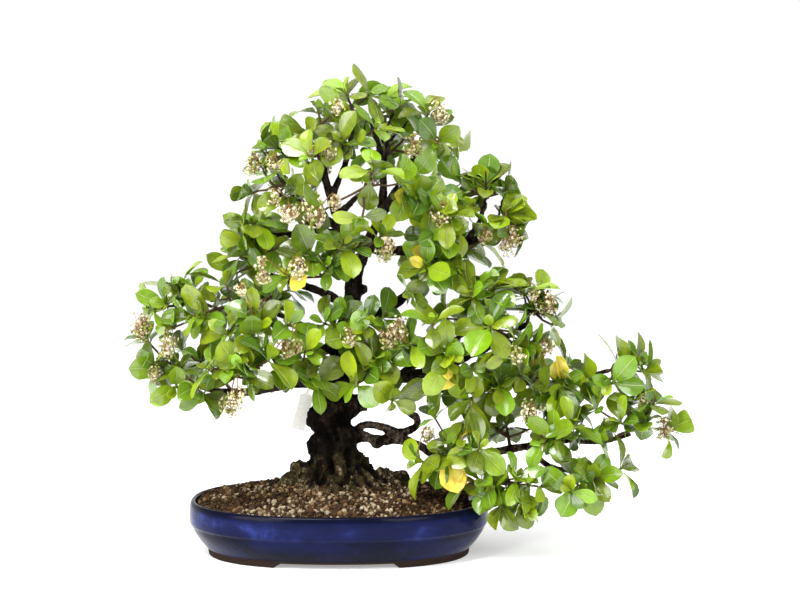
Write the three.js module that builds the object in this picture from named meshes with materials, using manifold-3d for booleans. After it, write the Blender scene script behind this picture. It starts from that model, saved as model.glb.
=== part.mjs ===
// An Indian hawthorn bonsai in a shallow oval glazed pot: a rugged trunk on spreading surface roots,
// long limbs, leafy shoots of blunt oval leaves, dry flower heads and a blank plant label.
// Millimetres, +Z up. X runs along the pot, and the tree's face is on the -Y side.

import * as THREE from "three";
import { mergeVertices } from "three/addons/utils/BufferGeometryUtils.js";
import Module from "manifold-3d";

// Driving dimensions of the pot
const POT_HALF_LENGTH = 187;
const POT_HALF_DEPTH = 137;
const POT_HEIGHT = 67.5;
const POT_SIDES = 28;
const POT_FULLNESS = 2.3;
const FOOT_HEIGHT = 8;
const FOOT_GAP_WIDTH = 146;
const FLOOR_LEVEL = 19;
const DRAIN_RADIUS = 11;
const DRAIN_SPACING = 168;
const SCREEN_SIZE = 34;
const SCREEN_THICKNESS = 1.2;
const SCREEN_CELLS = 3;
const SCREEN_BAR = 2.4;

// Driving dimensions of the soil
const SOIL_EDGE_LEVEL = 64.5;
const SOIL_MOUND_RISE = 27;
const SOIL_RINGS = 8;
const GRAIN_RELIEF = 1.5;

// Clearance between two pieces that rest on each other
const SEAT_GAP = 0.3;

// Driving dimensions of the wood
const TRUNK_SIDES = 11;
const TRUNK_FOOT_LEVEL = 62;
const ROOT_SOCKET_GAP = 0.6;
const TWIG_RADIUS = 2.3;
const SHOOT_BEND = 0.35;

// Driving dimensions of a leaf, and how many leaves the main tip and the side tips of a shoot carry
const LEAF_LENGTH = 43;
const LEAF_WIDTH_SHARE = 0.62;
const LEAF_RIB_THICKNESS = 1.3;
const LEAF_FOLD = 0.2;
const LEAF_ROOT_HEIGHT = 1.8;
const LEAVES_PER_TIP = [4, 3, 2, 2];

// Driving dimensions of a dry flower head
const HEAD_DROP = 27;
const HEAD_CORE = 4.6;
const FLORET_REACH = 10.5;
const STALK_RADIUS = 0.9;

// Driving dimensions of the plant label
const LABEL_LOOP_RADIUS = 12.4;
const LABEL_STRAP_WIDTH = 4;
const LABEL_THICKNESS = 0.9;
const LABEL_WIDTH = 17;
const LABEL_HEIGHT = 44;
const LABEL_LEAN = 0.27;
const LABEL_PLACE = 0.19;

const UP = new THREE.Vector3(0, 0, 1);
const wasm = await Module();
wasm.setup();

// The trunk, as level sections: centre x, y, z and the half widths along x and y
const TRUNK = [
  [12, 0, TRUNK_FOOT_LEVEL, 40, 32],
  [8, 0, 88, 42, 33],
  [0, 0, 103, 38, 30],
  [-4, -1, 118, 31, 27],
  [-9, -2, 131, 29, 26],
  [-10, -2, 142, 28, 25],
  [-12, -2, 157, 27, 25],
  [-11, -1, 176, 26, 24],
  [-4, 0, 190, 25, 22],
  [-1, 0, 205, 18, 17],
  [4, 1, 232, 14.5, 14],
  [7, 2, 251, 14.5, 14],
  [10, 2, 276, 13, 12.5],
  [14, 1, 301, 12, 12],
  [19, 0, 326, 11, 11],
  [20, 0, 352, 10, 10],
];

// Surface roots: heading in degrees, reach from the trunk's axis and thickness where it leaves the trunk
const ROOTS = [
  [184, 98, 22],
  [218, 68, 16],
  [250, 62, 17],
  [285, 62, 16],
  [318, 74, 16],
  [348, 94, 18],
  [25, 82, 17],
  [75, 60, 16],
  [130, 64, 17],
];

// Burls and the sawn stub of an old limb: centre, then the half sizes
const BURLS = [
  [[-26, -8, 170], [14, 16, 18]],
  [[10, -14, 152], [12, 14, 22]],
  [[-26, -8, 135], [15, 16, 16]],
  [[48, -11, 139], [8, 7.5, 8]],
];
const SAWN_LIMBS = [
  { points: [[-4, 0, 178], [33, -9, 189]], radii: [18, 13.5] },
  { points: [[19, 0, 328], [36, -4, 332]], radii: [7, 5] },
];

// Limbs, each from its thick end to its tip, with the radius at both ends
const LIMBS = {
  leader_left: {
    points: [[20, 0, 343], [9, -12, 395], [-4, -22, 432], [-16, -26, 476], [-19, -24, 520]],
    radii: [9, 3],
  },
  leader_right: {
    points: [[20, 0, 343], [37, 10, 389], [59, 16, 432], [78, 14, 464], [94, 6, 495], [104, 2, 520]],
    radii: [8.6, 2.8],
  },
  leader_back: {
    points: [[52, 14, 420], [56, 34, 455], [52, 44, 500], [40, 38, 540]],
    radii: [6.5, 3],
  },
  crown_centre: {
    points: [[-8, -23, 446], [10, -8, 490], [20, 0, 542]],
    radii: [4.6, 2.8],
  },
  crown_back_left: {
    points: [[-4, -22, 434], [-16, 14, 466], [-26, 46, 498]],
    radii: [5.2, 3],
  },
  upper_right: {
    points: [[34, 8, 383], [70, 0, 379], [110, -8, 383], [158, -12, 389], [198, -9, 406]],
    radii: [7.6, 3.2],
  },
  upper_right_rise: {
    points: [[156, -12, 389], [174, -18, 414], [181, -19, 437]],
    radii: [4, 2.8],
  },
  upper_left: {
    points: [[8, -13, 398], [-28, -30, 408], [-56, -42, 430], [-72, -48, 456]],
    radii: [6.8, 3],
  },
  upper_left_low: {
    points: [[-26, -29, 408], [-64, -26, 400], [-104, -18, 402]],
    radii: [4.8, 2.8],
  },
  upper_left_back: {
    points: [[6, -10, 404], [-24, 26, 424], [-60, 64, 444]],
    radii: [5.8, 2.9],
  },
  upper_front: {
    points: [[-1, -20, 424], [14, -54, 438], [27, -80, 452]],
    radii: [5.6, 2.9],
  },
  upper_back: {
    points: [[56, 15, 427], [70, 48, 440], [78, 80, 452]],
    radii: [5.4, 2.9],
  },
  middle_right: {
    points: [[14, 1, 286], [45, -4, 298], [67, -8, 311], [85, -10, 325], [99, -12, 345], [126, -16, 371]],
    radii: [9, 3.4],
  },
  middle_right_back: {
    points: [[94, -11, 338], [114, 18, 350], [134, 44, 358]],
    radii: [5.4, 2.8],
  },
  high_left: {
    points: [[14, 1, 308], [-18, 12, 325], [-48, 20, 335], [-90, 22, 349]],
    radii: [7, 3],
  },
  left: {
    points: [
      [-2, 0, 206], [-35, 4, 214], [-61, 0, 213], [-88, -8, 208],
      [-120, -14, 203], [-155, -16, 206], [-182, -14, 214],
    ],
    radii: [9.8, 3.2],
  },
  left_front: {
    points: [[-84, -7, 206], [-96, -40, 213], [-104, -70, 219]],
    radii: [5, 2.8],
  },
  left_rise: {
    points: [[-61, 0, 211], [-82, 12, 246], [-112, 20, 276], [-150, 22, 304]],
    radii: [6, 2.9],
  },
  left_high: {
    points: [[6, 1, 245], [-25, -14, 262], [-55, -25, 275], [-90, -30, 290], [-121, -32, 305]],
    radii: [8, 3.2],
  },
  left_back: {
    points: [[-22, -12, 261], [-52, 40, 284], [-98, 84, 298]],
    radii: [6, 2.9],
  },
  right: {
    points: [
      [4, 1, 232], [35, -8, 226], [75, -20, 222], [116, -28, 232],
      [160, -30, 250], [200, -26, 268], [238, -19, 292],
    ],
    radii: [10, 3.2],
  },
  right_rise: {
    points: [[158, -30, 249], [184, -35, 288], [196, -37, 318]],
    radii: [4.8, 2.8],
  },
  right_back: {
    points: [[72, -19, 222], [118, 34, 246], [160, 66, 268]],
    radii: [5.8, 2.9],
  },
  low: {
    points: [
      [-4, -2, 139], [16, -4, 143], [32, -6, 146], [48, -9, 142],
      [72, -13, 143], [88, -15, 141], [104, -17, 135], [126, -20, 121],
      [165, -28, 111], [205, -42, 96], [232, -52, 84],
    ],
    radii: [7.6, 2.8],
  },
  low_loop: {
    points: [
      [0, 0, 150], [17, -1, 154], [31, -2, 161], [45, -4, 160],
      [58, -6, 157], [76, -7, 152], [89, -6, 154], [99, -2, 161],
      [97, 6, 169], [88, 16, 174], [88, 24, 184], [102, 27, 194],
      [124, 25, 200], [150, 22, 203], [190, 16, 207], [240, 8, 212],
      [280, 4, 214], [340, -2, 229],
    ],
    radii: [5.6, 2.8],
  },
  low_right: {
    points: [
      [124, -19, 122], [166, -9, 119], [204, -6, 128], [244, -6, 135],
      [286, -8, 142], [328, -10, 140], [366, -12, 150],
    ],
    radii: [6.8, 3],
  },
  low_drop: {
    points: [[236, -6, 134], [260, -28, 114], [296, -43, 107]],
    radii: [4.4, 2.8],
  },
};

// Leafy shoots: where each leaves its limb, then the growing tips it ends in
const SHOOTS = {
  crown_top_left: [[-19, -24, 519], [-24, -22, 554], [-36, -40, 524], [-6, -42, 548]],
  crown_top: [[20, 0, 540], [10, -6, 574], [38, -14, 572], [16, 34, 560]],
  crown_top_right: [[41, 39, 536], [54, 34, 564], [78, 12, 558], [68, 66, 544]],
  crown_right: [[103, 2, 518], [112, -14, 552], [142, -8, 504], [122, -36, 514], [110, 36, 534]],
  crown_left: [[-16, -26, 477], [-58, -48, 508], [-88, -26, 502]],
  crown_front: [[10, -8, 490], [6, -66, 514], [48, -60, 532], [-30, -72, 498]],
  crown_back_left: [[-25, 44, 496], [-30, 60, 522], [-68, 46, 502], [2, 86, 512]],
  crown_back: [[53, 43, 492], [84, 74, 520], [40, 96, 500], [122, 46, 494]],
  upper_left_tip: [[-71, -47, 454], [-86, -50, 474], [-104, -38, 452], [-62, -82, 448], [-36, -86, 466]],
  upper_left_low: [[-102, -18, 402], [-114, -34, 392], [-100, -52, 416], [-106, 2, 398]],
  upper_left_back: [[-58, 62, 443], [-82, 84, 478], [-94, 66, 436], [-42, 98, 444]],
  upper_front: [[26, -78, 451], [46, -112, 484], [76, -96, 466], [32, -120, 426], [-14, -100, 434]],
  upper_right_front: [[69, 15, 448], [92, -36, 454], [116, -54, 438]],
  upper_right_high: [[180, -19, 434], [184, -26, 462], [152, -8, 464], [206, -10, 454]],
  upper_right_tip: [[195, -9, 405], [206, -30, 426], [221, -14, 414]],
  upper_right_middle: [[112, -8, 383], [134, -62, 424], [156, -36, 434], [112, -46, 400]],
  upper_back: [[77, 78, 451], [70, 114, 480], [106, 98, 452], [134, 62, 424]],
  middle_left: [[-86, 22, 348], [-126, 2, 374], [-130, 40, 348], [-76, -30, 384]],
  middle_front: [[-16, 12, 324], [-32, -62, 376], [8, -82, 392], [54, -78, 402], [-58, -60, 352]],
  middle_right: [[122, -15, 368], [108, -62, 362], [146, -52, 362], [176, -22, 392], [92, -58, 330]],
  middle_right_back: [[131, 41, 357], [146, 80, 376], [108, 94, 352], [168, 48, 380]],
  middle_low: [[10, 2, 278], [-16, -58, 294], [18, -74, 278], [56, -52, 300]],
  left_top: [[-146, 22, 302], [-202, 4, 332], [-180, -4, 332], [-232, -4, 306], [-212, -24, 312]],
  left_middle: [[-117, -32, 303], [-138, -28, 340], [-160, -66, 304], [-204, -42, 286]],
  left_front_high: [[-80, -29, 286], [-98, -82, 302], [-130, -90, 284], [-58, -88, 294]],
  left_tip: [[-176, -14, 212], [-238, -12, 268], [-226, -34, 238], [-198, -48, 214], [-164, -60, 206]],
  left_front: [[-103, -66, 218], [-116, -110, 238], [-150, -98, 244], [-82, -98, 254]],
  left_inner: [[-52, 2, 212], [-56, -60, 244], [-28, -62, 222], [-38, -84, 262]],
  left_back: [[-95, 81, 297], [-142, 102, 308], [-106, 124, 288], [-68, 114, 320]],
  left_back_low: [[-132, -15, 202], [-164, 46, 226], [-200, 30, 252], [-128, 70, 250]],
  right_inner: [[50, -13, 224], [46, -56, 250], [22, -66, 220], [68, -68, 200], [88, -52, 260]],
  right_front: [[122, -28, 234], [116, -94, 298], [90, -82, 270], [134, -92, 250], [166, -84, 240]],
  right_high: [[196, -37, 314], [192, -50, 338], [164, -60, 326]],
  right_tip: [[234, -20, 289], [228, -32, 328], [250, -20, 328], [264, -34, 290]],
  right_middle: [[186, -35, 291], [186, -82, 292], [210, -72, 262], [238, -58, 268]],
  right_back: [[156, 63, 266], [216, 88, 298], [180, 112, 290], [138, 104, 284], [108, 92, 250]],
  low_deck_inner: [[190, 16, 207], [164, -36, 196], [198, -36, 216], [228, -32, 226]],
  low_deck_outer: [[272, 5, 214], [254, -30, 202], [280, -28, 212], [306, -16, 215]],
  low_deck_tip: [[335, -2, 228], [352, -4, 240], [384, -12, 228], [340, -30, 216]],
  low_deck_back: [[240, 8, 212], [292, 48, 228], [248, 62, 216], [200, 58, 204]],
  low_right_tip: [[345, -11, 144], [412, -16, 156], [392, -26, 190], [350, -40, 168], [320, -38, 186]],
  low_right_middle: [[272, -7, 140], [288, -54, 168], [258, -56, 152], [318, -44, 150]],
  low_drop: [[288, -40, 108], [310, -60, 100], [350, -48, 112], [286, -72, 88]],
  low_front: [[160, -27, 112], [134, -68, 138], [174, -78, 142], [120, -50, 176], [104, -66, 124]],
  low_front_drop: [[202, -41, 97], [184, -72, 92], [220, -80, 106], [250, -74, 94], [158, -72, 98]],
  low_front_tip: [[226, -50, 86], [228, -66, 74], [200, -74, 74]],
  low_back: [[215, -6, 130], [212, 52, 152], [176, 58, 156], [262, 52, 154]],
};

// Dry flower heads hang from these growing tips: the shoot, then which of its tips
const FLOWER_HEADS = [
  ["upper_left_tip", 3],
  ["upper_right_tip", 0],
  ["left_front_high", 2],
  ["middle_left", 2],
  ["middle_front", 2],
  ["right_tip", 1],
  ["left_front", 0],
];

// A leaf that would cross something is turned, spread or shortened by the next of these until it is clear
const LEAF_TRIES = [
  [0, 0, 1],
  [0.45, 0, 1],
  [-0.45, 0, 1],
  [0.2, -0.35, 0.95],
  [-0.2, -0.35, 0.95],
  [0.9, 0.15, 0.92],
  [-0.9, 0.15, 0.92],
  [0, -0.55, 0.85],
  [0.6, 0.4, 0.85],
  [-0.6, 0.4, 0.85],
  [0, 0, 0.7],
];

const glaze = new THREE.MeshStandardMaterial({ color: 0x232f78, roughness: 0.22, metalness: 0 });
const grit = new THREE.MeshStandardMaterial({ color: 0x8d7058, roughness: 0.95, metalness: 0 });
const bark = new THREE.MeshStandardMaterial({ color: 0x3a2e26, roughness: 0.9, metalness: 0 });
const foliage = new THREE.MeshStandardMaterial({ color: 0x6fa32b, roughness: 0.42, metalness: 0 });
const dryFlower = new THREE.MeshStandardMaterial({ color: 0xc9a98a, roughness: 0.85, metalness: 0 });
const labelCard = new THREE.MeshStandardMaterial({ color: 0xe4dccd, roughness: 0.7, metalness: 0 });
const meshPlastic = new THREE.MeshStandardMaterial({ color: 0x1d1f20, roughness: 0.6, metalness: 0 });

function point(xyz) {
  return new THREE.Vector3(...xyz);
}

// A level direction at right angles to the given one
function sideways(heading) {
  const other = Math.abs(heading.z) < 0.9 ? UP : new THREE.Vector3(1, 0, 0);
  return new THREE.Vector3().crossVectors(heading, other).normalize();
}

// Repeatable draws between 0 and 1 from a whole number
function draws(seed) {
  let state = seed >>> 0;
  return () => {
    state = (state + 0x6d2b79f5) >>> 0;
    let t = Math.imul(state ^ (state >>> 15), state | 1);
    t ^= t + Math.imul(t ^ (t >>> 7), t | 61);
    return ((t ^ (t >>> 14)) >>> 0) / 4294967296;
  };
}

function solidOf(geometry) {
  const bare = geometry.clone();
  bare.deleteAttribute("normal");
  bare.deleteAttribute("uv");
  const merged = mergeVertices(bare, 1e-4);
  return new wasm.Manifold(
    new wasm.Mesh({
      numProp: 3,
      vertProperties: merged.attributes.position.array,
      triVerts: new Uint32Array(merged.index.array),
    }),
  );
}

function fuse(solids) {
  return solids.reduce((whole, piece) => whole.add(piece));
}

function meshOf(name, solid, material) {
  const cut = solid.getMesh();
  const geometry = new THREE.BufferGeometry();
  geometry.setAttribute("position", new THREE.BufferAttribute(cut.vertProperties, 3));
  geometry.setIndex(new THREE.BufferAttribute(cut.triVerts, 1));
  geometry.computeVertexNormals();
  const mesh = new THREE.Mesh(geometry, material);
  mesh.name = name;
  return mesh;
}

// A closed skin over rings of points, each listed anticlockwise about the way the rings advance
function skinOver(rings) {
  const sides = rings[0].length;
  const position = rings.flat().flatMap((p) => [p.x, p.y, p.z]);
  const index = [];
  for (let ring = 0; ring < rings.length - 1; ring++) {
    for (let i = 0; i < sides; i++) {
      const a = ring * sides + i;
      const b = ring * sides + ((i + 1) % sides);
      index.push(a, b, b + sides, a, b + sides, a + sides);
    }
  }
  const last = (rings.length - 1) * sides;
  for (let i = 1; i < sides - 1; i++) {
    index.push(0, i + 1, i, last, last + i, last + i + 1);
  }
  const geometry = new THREE.BufferGeometry();
  geometry.setAttribute("position", new THREE.Float32BufferAttribute(position, 3));
  geometry.setIndex(index);
  return solidOf(geometry);
}

function ringAbout(centre, tangent, across, radius, sides) {
  const other = new THREE.Vector3().crossVectors(tangent, across).normalize();
  return Array.from({ length: sides }, (_, i) => {
    const turn = (2 * Math.PI * i) / sides;
    return centre
      .clone()
      .addScaledVector(across, radius * Math.cos(turn))
      .addScaledVector(other, radius * Math.sin(turn));
  });
}

// A tapering round limb through its points
function limbSolid({ points, radii }, { sides = 5, grow = 0, steps = points.length - 1 } = {}) {
  const curve = new THREE.CatmullRomCurve3(points.map(point), false, "centripetal");
  const frames = curve.computeFrenetFrames(steps);
  const rings = [];
  for (let i = 0; i <= steps; i++) {
    const radius = THREE.MathUtils.lerp(radii[0], radii[1], i / steps) + grow;
    rings.push(ringAbout(curve.getPointAt(i / steps), frames.tangents[i], frames.normals[i], radius, sides));
  }
  return skinOver(rings);
}

// A straight or bent twig with one section at each of its points, the first square to the given heading
function twigSolid(points, radii, sides, firstHeading) {
  const start = firstHeading ?? points[1].clone().sub(points[0]).normalize();
  const across = sideways(start);
  const rings = points.map((at, i) => {
    const before = points[Math.max(i - 1, 0)];
    const after = points[Math.min(i + 1, points.length - 1)];
    const tangent = i === 0 ? start : after.clone().sub(before).normalize();
    across.addScaledVector(tangent, -across.dot(tangent)).normalize();
    const radius = THREE.MathUtils.lerp(radii[0], radii[1], i / (points.length - 1));
    return ringAbout(at, tangent, across, radius, sides);
  });
  return skinOver(rings);
}

function box(width, depth, height, x, y, z) {
  return solidOf(new THREE.BoxGeometry(width, depth, height).translate(x, y, z));
}

// One level outline of the pot, set in from its widest by the same distance all round
function potRing(inset, z) {
  return Array.from({ length: POT_SIDES }, (_, i) => {
    const turn = (2 * Math.PI * i) / POT_SIDES;
    const full = (v) => Math.sign(v) * Math.abs(v) ** (2 / POT_FULLNESS);
    return new THREE.Vector3(
      (POT_HALF_LENGTH - inset) * full(Math.cos(turn)),
      (POT_HALF_DEPTH - inset) * full(Math.sin(turn)),
      z,
    );
  });
}

// The pot's inner wall from the floor to the rim, as inset and level
const POT_INSIDE = [
  [34, FLOOR_LEVEL],
  [20, 25],
  [10, 42],
  [8.5, 62],
];

function potSolid() {
  const footTop = FOOT_HEIGHT;
  const rings = [
    potRing(34, footTop),
    potRing(32, 0),
    potRing(23, 0),
    potRing(21.5, footTop + 1),
    potRing(11.5, 20),
    potRing(5, 30),
    potRing(2.2, 37),
    potRing(0.6, 38.5),
    potRing(-0.6, 50),
    potRing(0.2, 63),
    potRing(2.2, POT_HEIGHT - 0.8),
    potRing(5, POT_HEIGHT),
    potRing(7.6, POT_HEIGHT - 1.4),
    ...[...POT_INSIDE].reverse().map(([inset, z]) => potRing(inset, z)),
  ];
  let pot = skinOver(rings);
  const gap = new THREE.Shape([
    new THREE.Vector2(-FOOT_GAP_WIDTH / 2 - 5, -1),
    new THREE.Vector2(FOOT_GAP_WIDTH / 2 + 5, -1),
    new THREE.Vector2(FOOT_GAP_WIDTH / 2 - 4, FOOT_HEIGHT - 2),
    new THREE.Vector2(-FOOT_GAP_WIDTH / 2 + 4, FOOT_HEIGHT - 2),
  ]);
  const through = new THREE.ExtrudeGeometry(gap, { depth: 2 * POT_HALF_DEPTH, bevelEnabled: false });
  pot = pot.subtract(solidOf(through.rotateX(Math.PI / 2).translate(0, POT_HALF_DEPTH, 0)));
  for (const side of [-1, 1]) {
    const hole = new THREE.CylinderGeometry(DRAIN_RADIUS, DRAIN_RADIUS, FLOOR_LEVEL * 2, 10);
    pot = pot.subtract(solidOf(hole.rotateX(Math.PI / 2).translate((side * DRAIN_SPACING) / 2, 0, FLOOR_LEVEL)));
  }
  return pot;
}

// A square of plastic mesh that keeps the soil in over a drain hole
function screenSolid(x) {
  const middle = FLOOR_LEVEL + SEAT_GAP + SCREEN_THICKNESS / 2;
  let plate = box(SCREEN_SIZE, SCREEN_SIZE, SCREEN_THICKNESS, x, 0, middle);
  const pitch = (SCREEN_SIZE - SCREEN_BAR) / SCREEN_CELLS;
  const opening = pitch - SCREEN_BAR;
  for (let column = 0; column < SCREEN_CELLS; column++) {
    for (let row = 0; row < SCREEN_CELLS; row++) {
      const offset = (n) => (n - (SCREEN_CELLS - 1) / 2) * pitch;
      plate = plate.subtract(box(opening, opening, 4, x + offset(column), offset(row), middle));
    }
  }
  return plate;
}

// Height of the soil over a point, mounded up to the trunk and roughened by its grains
function soilLevel(share, x, y) {
  const grains = Math.sin(x * 0.71 + 1.3 * Math.sin(y * 0.43)) * Math.sin(y * 0.83 + 1.1 * Math.sin(x * 0.37));
  return SOIL_EDGE_LEVEL + SOIL_MOUND_RISE * (1 - share ** 1.5) + GRAIN_RELIEF * grains * Math.min(1, share * 4);
}

function soilSolid(rootSocket) {
  const below = POT_INSIDE.map(([inset, z]) => potRing(inset + SEAT_GAP * 1.5, z + SEAT_GAP));
  below[below.length - 1] = potRing(POT_INSIDE.at(-1)[0] + SEAT_GAP * 1.5, SOIL_EDGE_LEVEL - 1);
  const peak = TRUNK[1];
  const edge = potRing(POT_INSIDE.at(-1)[0] + SEAT_GAP * 1.5, SOIL_EDGE_LEVEL);
  const top = Array.from({ length: SOIL_RINGS }, (_, ring) => {
    const share = 1 - ring / SOIL_RINGS;
    const twist = ring % 2;
    return edge.map((p, i) => {
      const next = edge[(i + 1) % POT_SIDES];
      const along = p.clone().lerp(next, twist * 0.5);
      const x = THREE.MathUtils.lerp(peak[0], along.x, share);
      const y = THREE.MathUtils.lerp(peak[1], along.y, share);
      return new THREE.Vector3(x, y, soilLevel(share, x, y));
    });
  });
  let soil = skinOver([...below, ...top]);
  for (const side of [-1, 1]) {
    const recess = SCREEN_SIZE + 2 * SEAT_GAP;
    const tall = 2 * (SCREEN_THICKNESS + 2 * SEAT_GAP);
    soil = soil.subtract(box(recess, recess, tall, (side * DRAIN_SPACING) / 2, 0, FLOOR_LEVEL));
  }
  return soil.subtract(rootSocket);
}

// The trunk's own body, lumpy and fluted as old wood is
function boleSolid(grow = 0) {
  const rings = TRUNK.map(([x, y, z, halfX, halfY], level) =>
    Array.from({ length: TRUNK_SIDES }, (_, i) => {
      const turn = (2 * Math.PI * i) / TRUNK_SIDES;
      const lumps = 1 + 0.07 * Math.sin(3 * turn + z / 19) + 0.05 * Math.sin(5 * turn - z / 13);
      return new THREE.Vector3(
        x + (halfX * lumps + grow) * Math.cos(turn),
        y + (halfY * lumps + grow) * Math.sin(turn),
        level === 0 ? z - grow : z,
      );
    }),
  );
  return skinOver(rings);
}

// A root that leaves the trunk, runs over the mound and dives into the soil
function rootSolid([heading, reach, thickness], grow = 0) {
  const turn = THREE.MathUtils.degToRad(heading);
  const out = (distance, z) => [TRUNK[1][0] + distance * Math.cos(turn), distance * Math.sin(turn), z];
  const points = [out(4, 116), out(28, 97), out(reach * 0.7, 86), out(reach + 6, 69)];
  return limbSolid({ points, radii: [thickness, thickness * 0.4] }, { grow });
}

function burlSolid([centre, halfSizes]) {
  return solidOf(new THREE.IcosahedronGeometry(1, 1).scale(...halfSizes).translate(...centre));
}

// The line of one leafy shoot: where it leaves the wood, its fork and its growing tips
function shootLine([on, ...tips]) {
  const from = point(on);
  const tipPoints = tips.map(point);
  const middle = tipPoints.reduce((sum, p) => sum.add(p), new THREE.Vector3()).divideScalar(tips.length);
  const heading = middle.sub(from).normalize();
  const bend = from.clone().addScaledVector(heading, SHOOT_BEND * from.distanceTo(tipPoints[0]));
  const fork = new THREE.QuadraticBezierCurve3(from, bend, tipPoints[0]).getPoint(0.55);
  const grown = tipPoints.map((tip, i) => {
    const shootHeading = tip.clone().sub(fork).normalize();
    const axis = shootHeading.clone().addScaledVector(UP, 0.35).normalize();
    return { tip, shootHeading, axis, levels: LEAVES_PER_TIP[i] > 3 ? WHORL_LEVELS : WHORL_LEVELS.slice(1) };
  });
  return { from, heading, fork, grown };
}

// Where each leaf springs from a growing tip: the first whorl's three faces, then the second's
const LEAF_SLOTS = [
  { whorl: 0, face: 0 },
  { whorl: 0, face: 1 },
  { whorl: 0, face: 2 },
  { whorl: 1, face: 2 },
  { whorl: 1, face: 0 },
  { whorl: 1, face: 1 },
];

// How far below a tip its whorls are: a tip of few leaves has only the one nearer its end
const WHORL_LEVELS = [4.6, 1];

function tipTurn(seed) {
  return 2 * Math.PI * draws(seed)();
}

// How the given leaf of a growing tip lies: its base, the way it points, its upper side, its size and its bend
function leafPose({ tip, shootHeading, axis, levels }, seed, leaf, [turnBy, spreadBy, scale]) {
  const draw = draws(seed + 17 * (leaf + 1));
  const { whorl, face } = LEAF_SLOTS[leaf];
  const first = sideways(shootHeading);
  const second = new THREE.Vector3().crossVectors(shootHeading, first);
  const turn = tipTurn(seed) + (Math.PI / 3) * (1 + whorl + 2 * face);
  const normal = first.clone().multiplyScalar(Math.cos(turn)).addScaledVector(second, Math.sin(turn));
  const swung = turn + 0.3 * (draw() - 0.5) + turnBy;
  const out = first.multiplyScalar(Math.cos(swung)).addScaledVector(second, Math.sin(swung));
  const spread = (whorl === 0 ? 1.15 : 0.75) + 0.4 * (draw() - 0.5) + spreadBy;
  const length = LEAF_LENGTH * (0.84 + 0.32 * draw()) * scale;
  const droop = 0.3 + 0.6 * draw();
  const roll = 0.4 * (draw() - 0.5);
  const heading = axis.clone().multiplyScalar(Math.cos(spread)).addScaledVector(out, Math.sin(spread)).normalize();
  const upper = axis.clone().multiplyScalar(Math.sin(spread)).addScaledVector(out, -Math.cos(spread));
  upper.addScaledVector(UP, 0.3);
  upper.addScaledVector(heading, -upper.dot(heading)).normalize();
  upper.applyAxisAngle(heading, roll);
  const inradius = TWIG_RADIUS / 2;
  const base = tip.clone().addScaledVector(shootHeading, -levels[whorl]).addScaledVector(normal, inradius);
  return { base, heading, upper, length, droop };
}

// A point of a leaf: share of its length, distance out to one side, and height over its middle surface
function leafPoint({ base, heading, upper, length, droop }, along, out, height) {
  const bent = droop * along;
  const run = (length * Math.sin(bent)) / droop;
  const fall = (length * (1 - Math.cos(bent))) / droop;
  const lift = Math.abs(out) * LEAF_FOLD + height;
  const side = new THREE.Vector3().crossVectors(heading, upper);
  return base
    .clone()
    .addScaledVector(heading, run + Math.sin(bent) * lift)
    .addScaledVector(upper, Math.cos(bent) * lift - fall)
    .addScaledVector(side, out);
}

// The points of a blunt oval blade: the rib's upper and under side, the end, and two points down each edge
function bladePoints(pose, thickness, breadth) {
  const half = (pose.length * LEAF_WIDTH_SHARE * breadth) / 2;
  const outline = [
    [0.36, 0.76],
    [0.78, 0.94],
  ];
  return [
    leafPoint(pose, 0.55, 0, thickness / 2),
    leafPoint(pose, 0.55, 0, -thickness / 2),
    leafPoint(pose, 1, 0, 0),
    ...outline.map(([along, out]) => leafPoint(pose, along, -half * out, 0)),
    ...outline.map(([along, out]) => leafPoint(pose, along, half * out, 0)),
  ];
}

// The faces of a blade beyond its widest neck, for points numbered as above from the given first one
function bladeFaces(first) {
  const [ribTop, ribUnder, end, l1, l2, r1, r2] = Array.from({ length: 7 }, (_, i) => first + i);
  return [
    [ribTop, l2, l1],
    [ribTop, end, l2],
    [ribUnder, l1, l2],
    [ribUnder, l2, end],
    [ribTop, r1, r2],
    [ribTop, r2, end],
    [ribUnder, r2, r1],
    [ribUnder, end, r2],
  ].flat();
}

function solidFrom(points, index) {
  const geometry = new THREE.BufferGeometry();
  geometry.setAttribute("position", new THREE.Float32BufferAttribute(points.flatMap((p) => p.toArray()), 3));
  geometry.setIndex(index);
  return solidOf(geometry);
}

// A closed stand-in for one leaf, a little thicker and wider, whose root starts at the given share of its length
function leafRoom(pose, rootShare) {
  const thickness = 1.8 * LEAF_RIB_THICKNESS;
  const neck = THREE.MathUtils.lerp(1.2 * TWIG_RADIUS, 0.38 * LEAF_WIDTH_SHARE * pose.length, rootShare / 0.36);
  const corner = (side, height) => leafPoint(pose, rootShare, side * neck, (height * thickness) / 2);
  return solidFrom(
    [corner(1, -1), corner(-1, -1), corner(-1, 1), corner(1, 1), ...bladePoints(pose, thickness, 1.05)],
    [0, 2, 1, 0, 3, 2, ...leafNeck(0, 1, 2, 3, 4), ...bladeFaces(4)],
  );
}

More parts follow.
